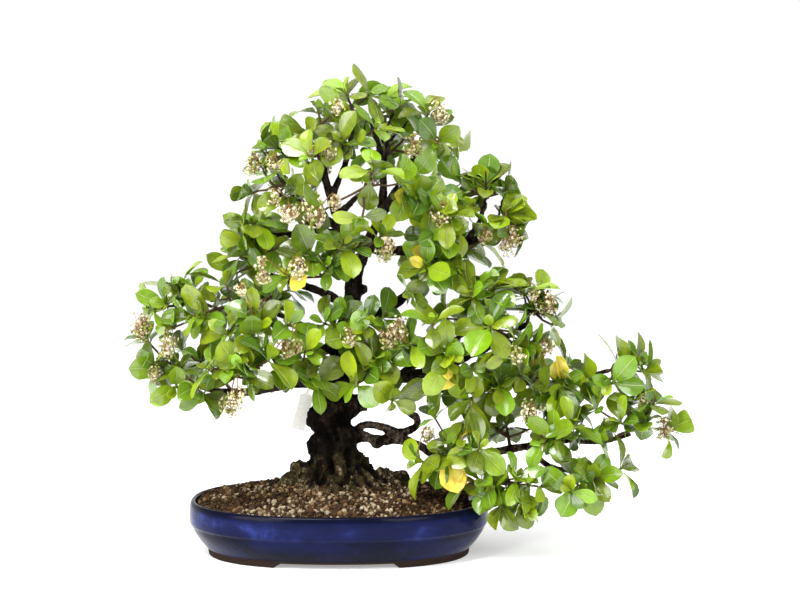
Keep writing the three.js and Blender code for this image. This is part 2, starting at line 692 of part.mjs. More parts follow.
// A three sided twig through its points, with the leaves of its growing tip drawn out of its faces
function tipSolid(way, firstHeading, { shootHeading, tip, levels }, seed, poses) {
  const edges = levels.flatMap((level) => [level + LEAF_ROOT_HEIGHT / 2, level - LEAF_ROOT_HEIGHT / 2]);
  const centres = [...way, ...edges.map((edge) => tip.clone().addScaledVector(shootHeading, -edge))];
  const whorlRing = way.length;
  const across = sideways(shootHeading);
  const turn = tipTurn(seed);
  const rings = centres.map((centre, i) => {
    const before = centres[Math.max(i - 1, 0)];
    const after = centres[Math.min(i + 1, centres.length - 1)];
    let tangent = after.clone().sub(before).normalize();
    if (i === 0) tangent = firstHeading;
    if (i >= whorlRing) tangent = shootHeading;
    const level = across.clone().addScaledVector(tangent, -across.dot(tangent)).normalize();
    level.applyAxisAngle(tangent, turn + (i >= whorlRing + 2 ? Math.PI / 3 : 0));
    return ringAbout(centre, tangent, level, TWIG_RADIUS, 3);
  });
  const points = rings.flat();
  const index = [0, 2, 1];
  const last = points.length - 3;
  index.push(last, last + 1, last + 2);
  for (let ring = 0; ring < rings.length - 1; ring++) {
    for (let i = 0; i < 3; i++) {
      const a = 3 * ring + i;
      const b = 3 * ring + ((i + 1) % 3);
      const whorl = (ring - whorlRing) / 2;
      const leaf = LEAF_SLOTS.findIndex((slot) => slot.whorl === whorl && slot.face === i);
      if (leaf >= 0 && poses[leaf]) {
        index.push(...leafNeck(a, b, b + 3, a + 3, points.length), ...bladeFaces(points.length));
        points.push(...bladePoints(poses[leaf], LEAF_RIB_THICKNESS, 1));
      } else if (ring === whorlRing + 1) {
        index.push(a, b, a + 3, b, b + 3, a + 3);
      } else {
        index.push(a, b, b + 3, a, b + 3, a + 3);
      }
    }
  }
  return solidFrom(points, index);
}

// Where along its heading a shoot starts, so that it sits just clear of the wood that carries it
function seatOf({ from, heading, fork, grown }, seed) {
  let inside = 0;
  let clear = from.distanceTo(fork) * 0.8;
  for (let round = 0; round < 9; round++) {
    const middle = (inside + clear) / 2;
    const start = from.clone().addScaledVector(heading, middle);
    const twig = tipSolid([start, fork], heading, grown[0], seed, []);
    if (nearest(twig, "trunk") < SEAT_GAP * 1.2) inside = middle;
    else clear = middle;
  }
  return from.clone().addScaledVector(heading, clear);
}

// The neck that joins a blade to the face of its twig, whose corners run right, left, upper left, upper right
function leafNeck(underRight, underLeft, topLeft, topRight, first) {
  const [ribTop, ribUnder, , l1, , r1] = Array.from({ length: 7 }, (_, i) => first + i);
  return [
    [topRight, ribTop, topLeft],
    [topLeft, ribTop, l1],
    [topRight, r1, ribTop],
    [topLeft, l1, underLeft],
    [topRight, underRight, r1],
    [underLeft, ribUnder, underRight],
    [underLeft, l1, ribUnder],
    [underRight, ribUnder, r1],
  ].flat();
}

// A dry flower head: a stalk that hangs from the growing tip, and a core whose florets stick out all round
function flowerHeadSolid({ tip, shootHeading, axis }, seed) {
  const draw = draws(seed);
  const start = tip.clone().addScaledVector(shootHeading, SEAT_GAP);
  const bend = start.clone().addScaledVector(axis, 7);
  const centre = bend.clone().addScaledVector(axis, 2).addScaledVector(UP, -HEAD_DROP);
  const stalk = twigSolid([start, bend, centre], [STALK_RADIUS, STALK_RADIUS], 3, shootHeading);
  const burr = new THREE.IcosahedronGeometry(1, 0);
  const florets = mergeVertices(burr.deleteAttribute("normal").deleteAttribute("uv"), 1e-4);
  const ends = florets.attributes.position;
  const finer = new THREE.IcosahedronGeometry(1, 1);
  const skin = finer.attributes.position;
  const at = new THREE.Vector3();
  const end = new THREE.Vector3();
  const reaches = Array.from({ length: ends.count }, () => FLORET_REACH * (0.8 + 0.4 * draw()));
  for (let i = 0; i < skin.count; i++) {
    at.fromBufferAttribute(skin, i);
    const floret = reaches.findIndex((_, k) => end.fromBufferAttribute(ends, k).distanceTo(at) < 0.1);
    at.multiplyScalar(floret < 0 ? HEAD_CORE : reaches[floret]);
    skin.setXYZ(i, at.x, at.y, at.z * 1.15);
  }
  return solidOf(finer.translate(...centre)).add(stalk);
}

// A blank label that hangs by its own loop from the left limb, behind the trunk's edge
function labelSolid() {
  const limb = LIMBS.left;
  const curve = new THREE.CatmullRomCurve3(limb.points.map(point), false, "centripetal");
  const held = curve.getPointAt(LABEL_PLACE);
  const limbRadius = THREE.MathUtils.lerp(limb.radii[0], limb.radii[1], LABEL_PLACE);
  const outer = LABEL_LOOP_RADIUS + LABEL_THICKNESS;
  const ring = new THREE.Shape().absarc(0, 0, outer, 0, 2 * Math.PI);
  ring.holes.push(new THREE.Path().absarc(0, 0, LABEL_LOOP_RADIUS, 0, 2 * Math.PI, true));
  const width = LABEL_STRAP_WIDTH;
  const loop = new THREE.ExtrudeGeometry(ring, { depth: width, bevelEnabled: false, curveSegments: 7 });
  loop.translate(0, 0, -width / 2).rotateY(Math.PI / 2);
  const card = new THREE.Shape([
    new THREE.Vector2(-width / 2, 0),
    new THREE.Vector2(-width / 2, -14),
    new THREE.Vector2(-LABEL_WIDTH / 2, -18),
    new THREE.Vector2(-LABEL_WIDTH / 2, -18 - LABEL_HEIGHT),
    new THREE.Vector2(LABEL_WIDTH / 2, -18 - LABEL_HEIGHT),
    new THREE.Vector2(LABEL_WIDTH / 2, -18),
    new THREE.Vector2(width / 2, -14),
    new THREE.Vector2(width / 2, 0),
  ]);
  const plate = new THREE.ExtrudeGeometry(card, { depth: LABEL_THICKNESS, bevelEnabled: false });
  plate.rotateX(Math.PI / 2).translate(0, outer, 0);
  const hang = held.clone().addScaledVector(UP, limbRadius + 4 * SEAT_GAP - LABEL_LOOP_RADIUS);
  return solidOf(loop)
    .add(solidOf(plate))
    .rotate([0, THREE.MathUtils.radToDeg(LABEL_LEAN), 0])
    .translate(hang.toArray());
}

// Keeps what is already in place, so that new pieces can be tested against it
const placed = [];

function place(node, solid) {
  placed.push({ node, solid, bounds: solid.boundingBox() });
}

function near(solid, reach) {
  const { min, max } = solid.boundingBox();
  const meets = (bounds) => [0, 1, 2].every((k) => min[k] - reach < bounds.max[k] && bounds.min[k] - reach < max[k]);
  return placed.filter((other) => meets(other.bounds));
}

function nearest(solid, node) {
  const gaps = near(solid, 1).filter((other) => other.node === node).map((other) => solid.minGap(other.solid, 1));
  return Math.min(1, ...gaps);
}

function crosses(solid, concerns) {
  return near(solid, 0).find((other) => concerns(other.node) && !solid.intersect(other.solid).isEmpty());
}

const tree = new THREE.Group();

// Wood: bole, roots, burls, sawn limbs and limbs
const wood = [
  boleSolid(),
  ...ROOTS.map((root) => rootSolid(root)),
  ...BURLS.map(burlSolid),
  ...SAWN_LIMBS.map((limb) => limbSolid(limb, { sides: 7, steps: 1 })),
  ...Object.values(LIMBS).map((limb) => limbSolid(limb)),
];
wood.forEach((solid) => place("trunk", solid));
tree.add(meshOf("trunk", fuse(wood), bark));

// Pot, drain screens and soil
const pot = potSolid();
const socket = fuse([boleSolid(ROOT_SOCKET_GAP), ...ROOTS.map((root) => rootSolid(root, ROOT_SOCKET_GAP))]);
const soil = soilSolid(socket);
place("pot", pot);
place("soil", soil);
tree.add(meshOf("pot", pot, glaze), meshOf("soil", soil, grit));
for (const [name, side] of [["drain_screen_left", -1], ["drain_screen_right", 1]]) {
  tree.add(meshOf(name, screenSolid((side * DRAIN_SPACING) / 2), meshPlastic));
}

const label = labelSolid();
place("plant_label", label);
tree.add(meshOf("plant_label", label, labelCard));

// Bare twigs and flower heads come before the leaves, which grow round them
const shoots = Object.entries(SHOOTS).map(([key, way], shootIndex) => {
  const line = shootLine(way);
  const name = "leafy_shoot_" + key;
  const firstSeed = 1000 * (shootIndex + 1);
  const seat = seatOf(line, firstSeed);
  const tips = line.grown.map((growing, tipIndex) => ({
    growing,
    way: tipIndex === 0 ? [seat, line.fork] : [line.fork],
    firstHeading: tipIndex === 0 ? line.heading : growing.shootHeading,
    seed: firstSeed + 100 * tipIndex,
    poses: [],
  }));
  for (const tip of tips) {
    const twig = tipSolid(tip.way, tip.firstHeading, tip.growing, tip.seed, []);
    const met = crosses(twig, (node) => node !== name);
    if (met) console.log(name, "twig crosses", met.node, tip.growing.tip.toArray(), seat.toArray(), line.fork.toArray());
    place(name, twig);
  }
  return { name, key, tips };
});
FLOWER_HEADS.forEach(([shootKey, tipIndex], i) => {
  const shoot = shoots.find(({ key }) => key === shootKey);
  const head = flowerHeadSolid(shoot.tips[tipIndex].growing, 7001 + i);
  const name = "dry_flower_head_" + shootKey;
  const met = crosses(head, () => true);
  if (met) console.log(name + " crosses " + met.node);
  place(name, head);
  tree.add(meshOf(name, head, dryFlower));
});

// Leaves, one after another, each the first of its tries that crosses nothing
let kept = 0;
for (let leaf = 0; leaf < Math.max(...LEAVES_PER_TIP); leaf++) {
  for (const { name, tips } of shoots) {
    tips.forEach((tip, tipIndex) => {
      if (leaf >= LEAVES_PER_TIP[tipIndex]) return;
      tip.poses[leaf] = LEAF_TRIES.map((turned) => leafPose(tip.growing, tip.seed, leaf, turned)).find(
        (pose) =>
          !crosses(leafRoom(pose, 0), (node) => node !== name) &&
          !crosses(leafRoom(pose, 0.24), (node) => node === name),
      );
      if (!tip.poses[leaf]) return;
      place(name, leafRoom(tip.poses[leaf], 0.05));
      kept += 1;
    });
  }
}
console.log(kept + " leaves");
for (const { name, tips } of shoots) {
  const grown = tips.map((tip) => tipSolid(tip.way, tip.firstHeading, tip.growing, tip.seed, tip.poses));
  tree.add(meshOf(name, fuse(grown), foliage));
}

// The frame's origin is on the surface that the pot stands on, under the middle of the whole plant
const bounds = new THREE.Box3().setFromObject(tree);
const middle = bounds.getCenter(new THREE.Vector3());
tree.position.set(-middle.x, -middle.y, -bounds.min.z);

const bonsai = new THREE.Group();
bonsai.add(tree);
export default bonsai;
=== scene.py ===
"""Dresses the indian hawthorn bonsai: a glazed oval pot of grit, old dark wood, leafy shoots and dry flowers.

Sizes are given in millimetres from the middle of the pot, at the level of the table, and are placed in the
frame by the plan class below. X runs along the pot and the tree's face is on the -Y side.
"""

from __future__ import annotations

import logging
import math
import random
from dataclasses import dataclass, field, replace
from enum import Enum
from typing import Sequence

import bpy
import numpy as np
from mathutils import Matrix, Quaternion, Vector, noise
from mathutils.kdtree import KDTree

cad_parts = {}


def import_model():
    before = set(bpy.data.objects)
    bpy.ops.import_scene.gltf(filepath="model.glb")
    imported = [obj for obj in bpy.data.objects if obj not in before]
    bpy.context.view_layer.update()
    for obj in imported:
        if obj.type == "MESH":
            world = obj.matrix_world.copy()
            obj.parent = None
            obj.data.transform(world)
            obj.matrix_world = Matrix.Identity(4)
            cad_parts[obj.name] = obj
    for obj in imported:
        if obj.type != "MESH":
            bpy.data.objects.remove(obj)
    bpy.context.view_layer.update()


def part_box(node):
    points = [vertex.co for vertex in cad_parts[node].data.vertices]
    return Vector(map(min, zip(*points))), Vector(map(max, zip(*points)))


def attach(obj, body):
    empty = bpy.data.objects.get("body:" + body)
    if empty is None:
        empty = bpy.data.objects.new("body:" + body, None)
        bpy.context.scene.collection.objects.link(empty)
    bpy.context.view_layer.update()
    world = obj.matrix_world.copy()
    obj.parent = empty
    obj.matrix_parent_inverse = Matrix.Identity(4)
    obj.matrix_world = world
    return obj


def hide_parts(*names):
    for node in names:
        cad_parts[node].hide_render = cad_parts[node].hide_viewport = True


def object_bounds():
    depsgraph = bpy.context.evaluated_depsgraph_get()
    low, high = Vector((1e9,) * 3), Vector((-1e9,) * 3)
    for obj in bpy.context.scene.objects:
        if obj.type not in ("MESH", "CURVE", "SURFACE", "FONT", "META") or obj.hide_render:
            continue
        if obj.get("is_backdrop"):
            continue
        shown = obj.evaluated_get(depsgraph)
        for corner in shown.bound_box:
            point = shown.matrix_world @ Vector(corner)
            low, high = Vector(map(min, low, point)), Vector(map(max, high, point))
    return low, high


log = logging.getLogger("bonsai")

MM = 0.001
UP = Vector((0.0, 0.0, 1.0))

# Pot: half sizes of its widest outline, and how square that oval is
POT_HALF_LENGTH = 187.0
POT_HALF_DEPTH = 137.0
POT_FULLNESS = 2.3
DRAIN_SPACING = 168.0

# Soil: level at its edge, rise of the mound to the trunk, and where the mound's top is
SOIL_EDGE_LEVEL = 64.5
SOIL_MOUND_RISE = 27.0
SOIL_EDGE_INSET = 9.0
MOUND_TOP = (8.0, 0.0)

# The trunk's level sections: centre x, y, z and the half widths along x and y
TRUNK = [
    (12, 0, 62, 40, 32),
    (8, 0, 88, 42, 33),
    (0, 0, 103, 38, 30),
    (-4, -1, 118, 31, 27),
    (-9, -2, 131, 29, 26),
    (-10, -2, 142, 28, 25),
    (-12, -2, 157, 27, 25),
    (-11, -1, 176, 26, 24),
    (-4, 0, 190, 25, 22),
    (-1, 0, 205, 18, 17),
    (4, 1, 232, 14.5, 14),
    (7, 2, 251, 14.5, 14),
    (10, 2, 276, 13, 12.5),
    (14, 1, 301, 12, 12),
    (19, 0, 326, 11, 11),
    (20, 0, 352, 10, 10),
]

# Surface roots: heading in degrees, reach from the trunk's axis, thickness at the trunk
ROOTS = [
    (184, 98, 22),
    (218, 68, 16),
    (250, 62, 17),
    (285, 62, 16),
    (318, 74, 16),
    (348, 94, 18),
    (25, 82, 17),
    (75, 60, 16),
    (130, 64, 17),
]

# Burls on the trunk: centre, then the half sizes
BURLS = [
    ((-26, -8, 170), (14, 16, 18)),
    ((10, -14, 152), (12, 14, 22)),
    ((-26, -8, 135), (15, 16, 16)),
    ((48, -11, 139), (8, 7.5, 8)),
]

# Limbs, each from its thick end to its tip, with the radius at both ends
LIMBS = {
    "leader_left": (
        [
            (20, 0, 343), (9, -12, 395), (-4, -22, 432), (-16, -26, 476), (-19, -24, 520),
        ],
        (9, 3),
    ),
    "leader_right": (
        [
            (20, 0, 343), (37, 10, 389), (59, 16, 432), (78, 14, 464), (94, 6, 495), (104, 2, 520),
        ],
        (8.6, 2.8),
    ),
    "leader_back": ([(52, 14, 420), (56, 34, 455), (52, 44, 500), (40, 38, 540)], (6.5, 3)),
    "crown_centre": ([(-8, -23, 446), (10, -8, 490), (20, 0, 542)], (4.6, 2.8)),
    "crown_back_left": ([(-4, -22, 434), (-16, 14, 466), (-26, 46, 498)], (5.2, 3)),
    "upper_right": (
        [
            (34, 8, 383), (70, 0, 379), (110, -8, 383), (158, -12, 389), (198, -9, 406),
        ],
        (7.6, 3.2),
    ),
    "upper_right_rise": ([(156, -12, 389), (174, -18, 414), (181, -19, 437)], (4, 2.8)),
    "upper_left": ([(8, -13, 398), (-28, -30, 408), (-56, -42, 430), (-72, -48, 456)], (6.8, 3)),
    "upper_left_low": ([(-26, -29, 408), (-64, -26, 400), (-104, -18, 402)], (4.8, 2.8)),
    "upper_left_back": ([(6, -10, 404), (-24, 26, 424), (-60, 64, 444)], (5.8, 2.9)),
    "upper_front": ([(-1, -20, 424), (14, -54, 438), (27, -80, 452)], (5.6, 2.9)),
    "upper_back": ([(56, 15, 427), (70, 48, 440), (78, 80, 452)], (5.4, 2.9)),
    "middle_right": (
        [
            (14, 1, 286), (45, -4, 298), (67, -8, 311), (85, -10, 325), (99, -12, 345),
            (126, -16, 371),
        ],
        (9, 3.4),
    ),
    "middle_right_back": ([(94, -11, 338), (114, 18, 350), (134, 44, 358)], (5.4, 2.8)),
    "high_left": ([(14, 1, 308), (-18, 12, 325), (-48, 20, 335), (-90, 22, 349)], (7, 3)),
    "left": (
        [
            (-2, 0, 206), (-35, 4, 214), (-61, 0, 213), (-88, -8, 208), (-120, -14, 203),
            (-155, -16, 206), (-182, -14, 214),
        ],
        (9.8, 3.2),
    ),
    "left_front": ([(-84, -7, 206), (-96, -40, 213), (-104, -70, 219)], (5, 2.8)),
    "left_rise": ([(-61, 0, 211), (-82, 12, 246), (-112, 20, 276), (-150, 22, 304)], (6, 2.9)),
    "left_high": (
        [
            (6, 1, 245), (-25, -14, 262), (-55, -25, 275), (-90, -30, 290), (-121, -32, 305),
        ],
        (8, 3.2),
    ),
    "left_back": ([(-22, -12, 261), (-52, 40, 284), (-98, 84, 298)], (6, 2.9)),
    "right": (
        [
            (4, 1, 232), (35, -8, 226), (75, -20, 222), (116, -28, 232), (160, -30, 250),
            (200, -26, 268), (238, -19, 292),
        ],
        (10, 3.2),
    ),
    "right_rise": ([(158, -30, 249), (184, -35, 288), (196, -37, 318)], (4.8, 2.8)),
    "right_back": ([(72, -19, 222), (118, 34, 246), (160, 66, 268)], (5.8, 2.9)),
    "low": (
        [
            (-4, -2, 139), (16, -4, 143), (32, -6, 146), (48, -9, 142), (72, -13, 143),
            (88, -15, 141), (104, -17, 135), (126, -20, 121), (165, -28, 111), (205, -42, 96),
            (232, -52, 84),
        ],
        (7.6, 2.8),
    ),
    "low_loop": (
        [
            (0, 0, 150), (17, -1, 154), (31, -2, 161), (45, -4, 160), (58, -6, 157), (76, -7, 152),
            (89, -6, 154), (99, -2, 161), (97, 6, 169), (88, 16, 174), (88, 24, 184), (102, 27, 194),
            (124, 25, 200), (150, 22, 203), (190, 16, 207), (240, 8, 212), (280, 4, 214),
            (340, -2, 229),
        ],
        (5.6, 2.8),
    ),
    "low_right": (
        [
            (124, -19, 122), (166, -9, 119), (204, -6, 128), (244, -6, 135), (286, -8, 142),
            (328, -10, 140), (366, -12, 150),
        ],
        (6.8, 3),
    ),
    "low_drop": ([(236, -6, 134), (260, -28, 114), (296, -43, 107)], (4.4, 2.8)),
}

# Old limbs sawn off: the points of each, and the radius at both ends
SAWN_LIMBS = [
    ([(-4, 0, 178), (33, -9, 189)], (18, 13.5)),
    ([(19, 0, 328), (36, -4, 332)], (7, 5)),
]

# Bare twigs in the open crown: the points of each from its limb outwards, and the radius at its foot
BARE_TWIGS = [
    ([(54, 36, 478), (60, 6, 500), (61, -22, 514), (62, -34, 533), (70, -44, 552)], 2.6),
    ([(61, -20, 513), (76, -34, 528), (88, -46, 541)], 1.7),
    ([(60, -14, 508), (52, -30, 522), (45, -40, 535)], 1.6),
    ([(86, 10, 481), (94, -20, 490), (96, -34, 504), (90, -42, 525)], 2.1),
    ([(98, 4, 504), (112, -20, 499), (127, -34, 508)], 1.7),
    ([(-16, -26, 474), (-30, -50, 482), (-52, -60, 498), (-71, -64, 508)], 2.1),
    ([(-44, -37, 420), (-46, -56, 438), (-61, -64, 461), (-80, -66, 487), (-88, -64, 503)], 2.2),
    ([(12, -6, 496), (14, -30, 520), (6, -40, 539)], 1.5),
    ([(16, -3, 516), (30, -34, 512), (22, -46, 526)], 1.5),
    ([(29, -30, 512), (33, -42, 530), (37, -46, 544)], 1.3),
    ([(181, -19, 434), (182, -40, 450), (181, -44, 479)], 2.0),
    ([(182, -38, 446), (189, -46, 461)], 1.4),
    ([(198, -10, 406), (200, -42, 436), (206, -46, 453)], 1.7),
]

# Leafy shoots: where each leaves its limb, then the growing tips it ends in
SHOOTS = {
    "crown_top_left": [(-19, -24, 519), (-24, -22, 554), (-36, -40, 524), (-6, -42, 548)],
    "crown_top": [(20, 0, 540), (10, -6, 574), (38, -14, 572), (16, 34, 560)],
    "crown_top_right": [(41, 39, 536), (54, 34, 564), (78, 12, 558), (68, 66, 544)],
    "crown_right": [(103, 2, 518), (112, -14, 552), (142, -8, 504), (122, -36, 514), (110, 36, 534)],
    "crown_left": [(-16, -26, 477), (-58, -48, 508), (-88, -26, 502)],
    "crown_front": [(10, -8, 490), (6, -66, 514), (48, -60, 532), (-30, -72, 498)],
    "crown_back_left": [(-25, 44, 496), (-30, 60, 522), (-68, 46, 502), (2, 86, 512)],
    "crown_back": [(53, 43, 492), (84, 74, 520), (40, 96, 500), (122, 46, 494)],
    "upper_left_tip": [(-71, -47, 454), (-86, -50, 474), (-104, -38, 452), (-62, -82, 448), (-36, -86, 466)],
    "upper_left_low": [(-102, -18, 402), (-114, -34, 392), (-100, -52, 416), (-106, 2, 398)],
    "upper_left_back": [(-58, 62, 443), (-82, 84, 478), (-94, 66, 436), (-42, 98, 444)],
    "upper_front": [(26, -78, 451), (46, -112, 484), (76, -96, 466), (32, -120, 426), (-14, -100, 434)],
    "upper_right_front": [(69, 15, 448), (92, -36, 454), (116, -54, 438)],
    "upper_right_high": [(180, -19, 434), (184, -26, 462), (152, -8, 464), (206, -10, 454)],
    "upper_right_tip": [(195, -9, 405), (206, -30, 426), (221, -14, 414)],
    "upper_right_middle": [(112, -8, 383), (134, -62, 424), (156, -36, 434), (112, -46, 400)],
    "upper_back": [(77, 78, 451), (70, 114, 480), (106, 98, 452), (134, 62, 424)],
    "middle_left": [(-86, 22, 348), (-126, 2, 374), (-130, 40, 348), (-76, -30, 384)],
    "middle_front": [(-16, 12, 324), (-32, -62, 376), (8, -82, 392), (54, -78, 402), (-58, -60, 352)],
    "middle_right": [(122, -15, 368), (108, -62, 362), (146, -52, 362), (176, -22, 392), (92, -58, 330)],
    "middle_right_back": [(131, 41, 357), (146, 80, 376), (108, 94, 352), (168, 48, 380)],
    "middle_low": [(10, 2, 278), (-16, -58, 294), (18, -74, 278), (56, -52, 300)],
    "left_top": [(-146, 22, 302), (-202, 4, 332), (-180, -4, 332), (-232, -4, 306), (-212, -24, 312)],
    "left_middle": [(-117, -32, 303), (-138, -28, 340), (-160, -66, 304), (-204, -42, 286)],
    "left_front_high": [(-80, -29, 286), (-98, -82, 302), (-130, -90, 284), (-58, -88, 294)],
    "left_tip": [(-176, -14, 212), (-238, -12, 268), (-226, -34, 238), (-198, -48, 214), (-164, -60, 206)],
    "left_front": [(-103, -66, 218), (-116, -110, 238), (-150, -98, 244), (-82, -98, 254)],
    "left_inner": [(-52, 2, 212), (-56, -60, 244), (-28, -62, 222), (-38, -84, 262)],
    "left_back": [(-95, 81, 297), (-142, 102, 308), (-106, 124, 288), (-68, 114, 320)],
    "left_back_low": [(-132, -15, 202), (-164, 46, 226), (-200, 30, 252), (-128, 70, 250)],
    "right_inner": [(50, -13, 224), (46, -56, 250), (22, -66, 220), (68, -68, 200), (88, -52, 260)],
    "right_front": [(122, -28, 234), (116, -94, 298), (90, -82, 270), (134, -92, 250), (166, -84, 240)],
    "right_high": [(196, -37, 314), (192, -50, 338), (164, -60, 326)],
    "right_tip": [(234, -20, 289), (228, -32, 328), (250, -20, 328), (264, -34, 290)],
    "right_middle": [(186, -35, 291), (186, -82, 292), (210, -72, 262), (238, -58, 268)],
    "right_back": [(156, 63, 266), (216, 88, 298), (180, 112, 290), (138, 104, 284), (108, 92, 250)],
    "low_deck_inner": [(190, 16, 207), (164, -36, 196), (198, -36, 216), (228, -32, 226)],
    "low_deck_outer": [(272, 5, 214), (254, -30, 202), (280, -28, 212), (306, -16, 215)],
    "low_deck_tip": [(335, -2, 228), (352, -4, 240), (384, -12, 228), (340, -30, 216)],
    "low_deck_back": [(240, 8, 212), (292, 48, 228), (248, 62, 216), (200, 58, 204)],
    "low_right_tip": [(345, -11, 144), (412, -16, 156), (392, -26, 190), (350, -40, 168), (320, -38, 186)],
    "low_right_middle": [(272, -7, 140), (288, -54, 168), (258, -56, 152), (318, -44, 150)],
    "low_drop": [(288, -40, 108), (310, -60, 100), (350, -48, 112), (286, -72, 88)],
    "low_front": [(160, -27, 112), (134, -68, 138), (174, -78, 142), (120, -50, 176), (104, -66, 124)],
    "low_front_drop": [(202, -41, 97), (184, -72, 92), (220, -80, 106), (250, -74, 94), (158, -72, 98)],
    "low_front_tip": [(226, -50, 86), (228, -66, 74), (200, -74, 74)],
    "low_back": [(215, -6, 130), (212, 52, 152), (176, 58, 156), (262, 52, 154)],
}

# Dry flower heads of the solid model: the shoot, then which of its tips each hangs from
FLOWER_HEADS = [
    ("upper_left_tip", 3),
    ("upper_right_tip", 0),
    ("left_front_high", 2),
    ("middle_left", 2),
    ("middle_front", 2),
    ("right_tip", 1),
    ("left_front", 0),
]

# Turn, spread and size by which a leaf may have been moved clear of its neighbours
LEAF_TRIES = [
    (0, 0, 1),
    (0.45, 0, 1),
    (-0.45, 0, 1),
    (0.2, -0.35, 0.95),
    (-0.2, -0.35, 0.95),
    (0.9, 0.15, 0.92),
    (-0.9, 0.15, 0.92),
    (0, -0.55, 0.85),
    (0.6, 0.4, 0.85),
    (-0.6, 0.4, 0.85),
    (0, 0, 0.7),
]

# Leaf: length, how wide it is for its length, how steeply its halves fold up, how many each tip of a shoot
# has, the whorl and face that each springs from, and how far below the tip the whorls are
LEAF_LENGTH = 43.0
LEAF_WIDTH_SHARE = 0.62
LEAF_FOLD = 0.2
LEAVES_PER_TIP = (4, 3, 2, 2)
LEAF_SLOTS = ((0, 0), (0, 1), (0, 2), (1, 2), (1, 0), (1, 1))
WHORL_LEVELS = (4.6, 1.0)
TWIG_RADIUS = 2.3

# Shoot: where along its length it bends and forks, and how near a point of the solid model a leaf's tip has
# to be to be found there
SHOOT_BEND = 0.35
FORK_SHARE = 0.55
FOUND_WITHIN = 0.4


# Placing


@dataclass(frozen=True)
class Plan:
    """Where the pot's middle lies in the frame, so that every size above can be placed in it."""

    middle: Vector

    @staticmethod
    def from_frame() -> "Plan":
        """Reads the pot's middle from the solid model."""
        low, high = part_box("pot")
        return Plan(Vector(((low.x + high.x) / 2, (low.y + high.y) / 2, 0.0)))

    def place(self, points: np.ndarray) -> np.ndarray:
        """Turns millimetres from the pot's middle into metres of the frame.

        Args:
            points: rows of x, y, z in millimetres.

        Returns:
            The same rows in metres of the frame.
        """
        return np.asarray(points, float) * MM + np.array(self.middle)

    def spot(self, point: Sequence[float]) -> Vector:
        """Places one point, as place does."""
        return Vector(point) * MM + self.middle


class Draws:
    """Repeatable draws between 0 and 1 from a whole number, the same as in the solid model."""

    STEP = 0x6D2B79F5
    MASK = 0xFFFFFFFF

    def __init__(self, seed: int) -> None:
        """Starts the draws.

        Args:
            seed: the whole number that the draws follow from.
        """
        self.state = seed & self.MASK

    def __call__(self) -> float:
        """Draws once more.

        Returns:
            The next draw.
        """
        self.state = (self.state + self.STEP) & self.MASK
        s = self.state
        t = ((s ^ (s >> 15)) * (s | 1)) & self.MASK
        t ^= (t + (((t ^ (t >> 7)) * (t | 61)) & self.MASK)) & self.MASK
        return ((t ^ (t >> 14)) & self.MASK) / (self.MASK + 1)


def sideways(heading: Vector) -> Vector:
    """Returns a level direction at right angles to the given one."""
    other = UP if abs(heading.z) < 0.9 else Vector((1.0, 0.0, 0.0))
    return heading.cross(other).normalized()


def lerp(a: float, b: float, share: float) -> float:
    """Returns the value that lies the given share of the way from a to b."""
    return a + (b - a) * share


# Shader maths and materials


class Value:
    """A shader socket that takes part in Python expressions, each of which adds its Math node."""

    def __init__(self, tree: bpy.types.NodeTree, socket: bpy.types.NodeSocket) -> None:
        """Wraps a socket.

        Args:
            tree: the node tree that the socket is in.
            socket: the output socket.
        """
        self.tree = tree
        self.socket = socket

    def _math(self, operation: str, a: "Value | float", b: "Value | float" = 0.0) -> "Value":
        """Adds one Math node.

        Args:
            operation: the node's operation.
            a: its first value.
            b: its second value.

        Returns:
            The node's result.
        """
        node = self.tree.nodes.new("ShaderNodeMath")
        node.operation = operation
        for place, value in enumerate((a, b)):
            if isinstance(value, Value):
                self.tree.links.new(value.socket, node.inputs[place])
            else:
                node.inputs[place].default_value = value
        return Value(self.tree, node.outputs[0])

    def __add__(self, other: "Value | float") -> "Value":
        """Adds."""
        return self._math("ADD", self, other)

    __radd__ = __add__

    def __mul__(self, other: "Value | float") -> "Value":
        """Multiplies."""
        return self._math("MULTIPLY", self, other)

    __rmul__ = __mul__

    def __sub__(self, other: "Value | float") -> "Value":
        """Takes the other value away."""
        return self._math("SUBTRACT", self, other)

    def __rsub__(self, other: float) -> "Value":
        """Takes this value away from the other."""
        return self._math("SUBTRACT", other, self)

    def __abs__(self) -> "Value":
        """Drops the sign."""
        return self._math("ABSOLUTE", self)

    def sine(self) -> "Value":
        """Takes the sine."""
        return self._math("SINE", self)

    def ramp(self, low: float, high: float) -> "Value":
        """Rises smoothly from 0 to 1 between two values.

        Args:
            low: the value that gives 0.
            high: the value that gives 1.

        Returns:
            The smooth step.
        """
        node = self.tree.nodes.new("ShaderNodeMapRange")
        node.interpolation_type = "SMOOTHSTEP"
        node.inputs["From Min"].default_value = low
        node.inputs["From Max"].default_value = high
        self.tree.links.new(self.socket, node.inputs["Value"])
        return Value(self.tree, node.outputs["Result"])


Input = "Value | bpy.types.NodeSocket | float | Sequence[float]"


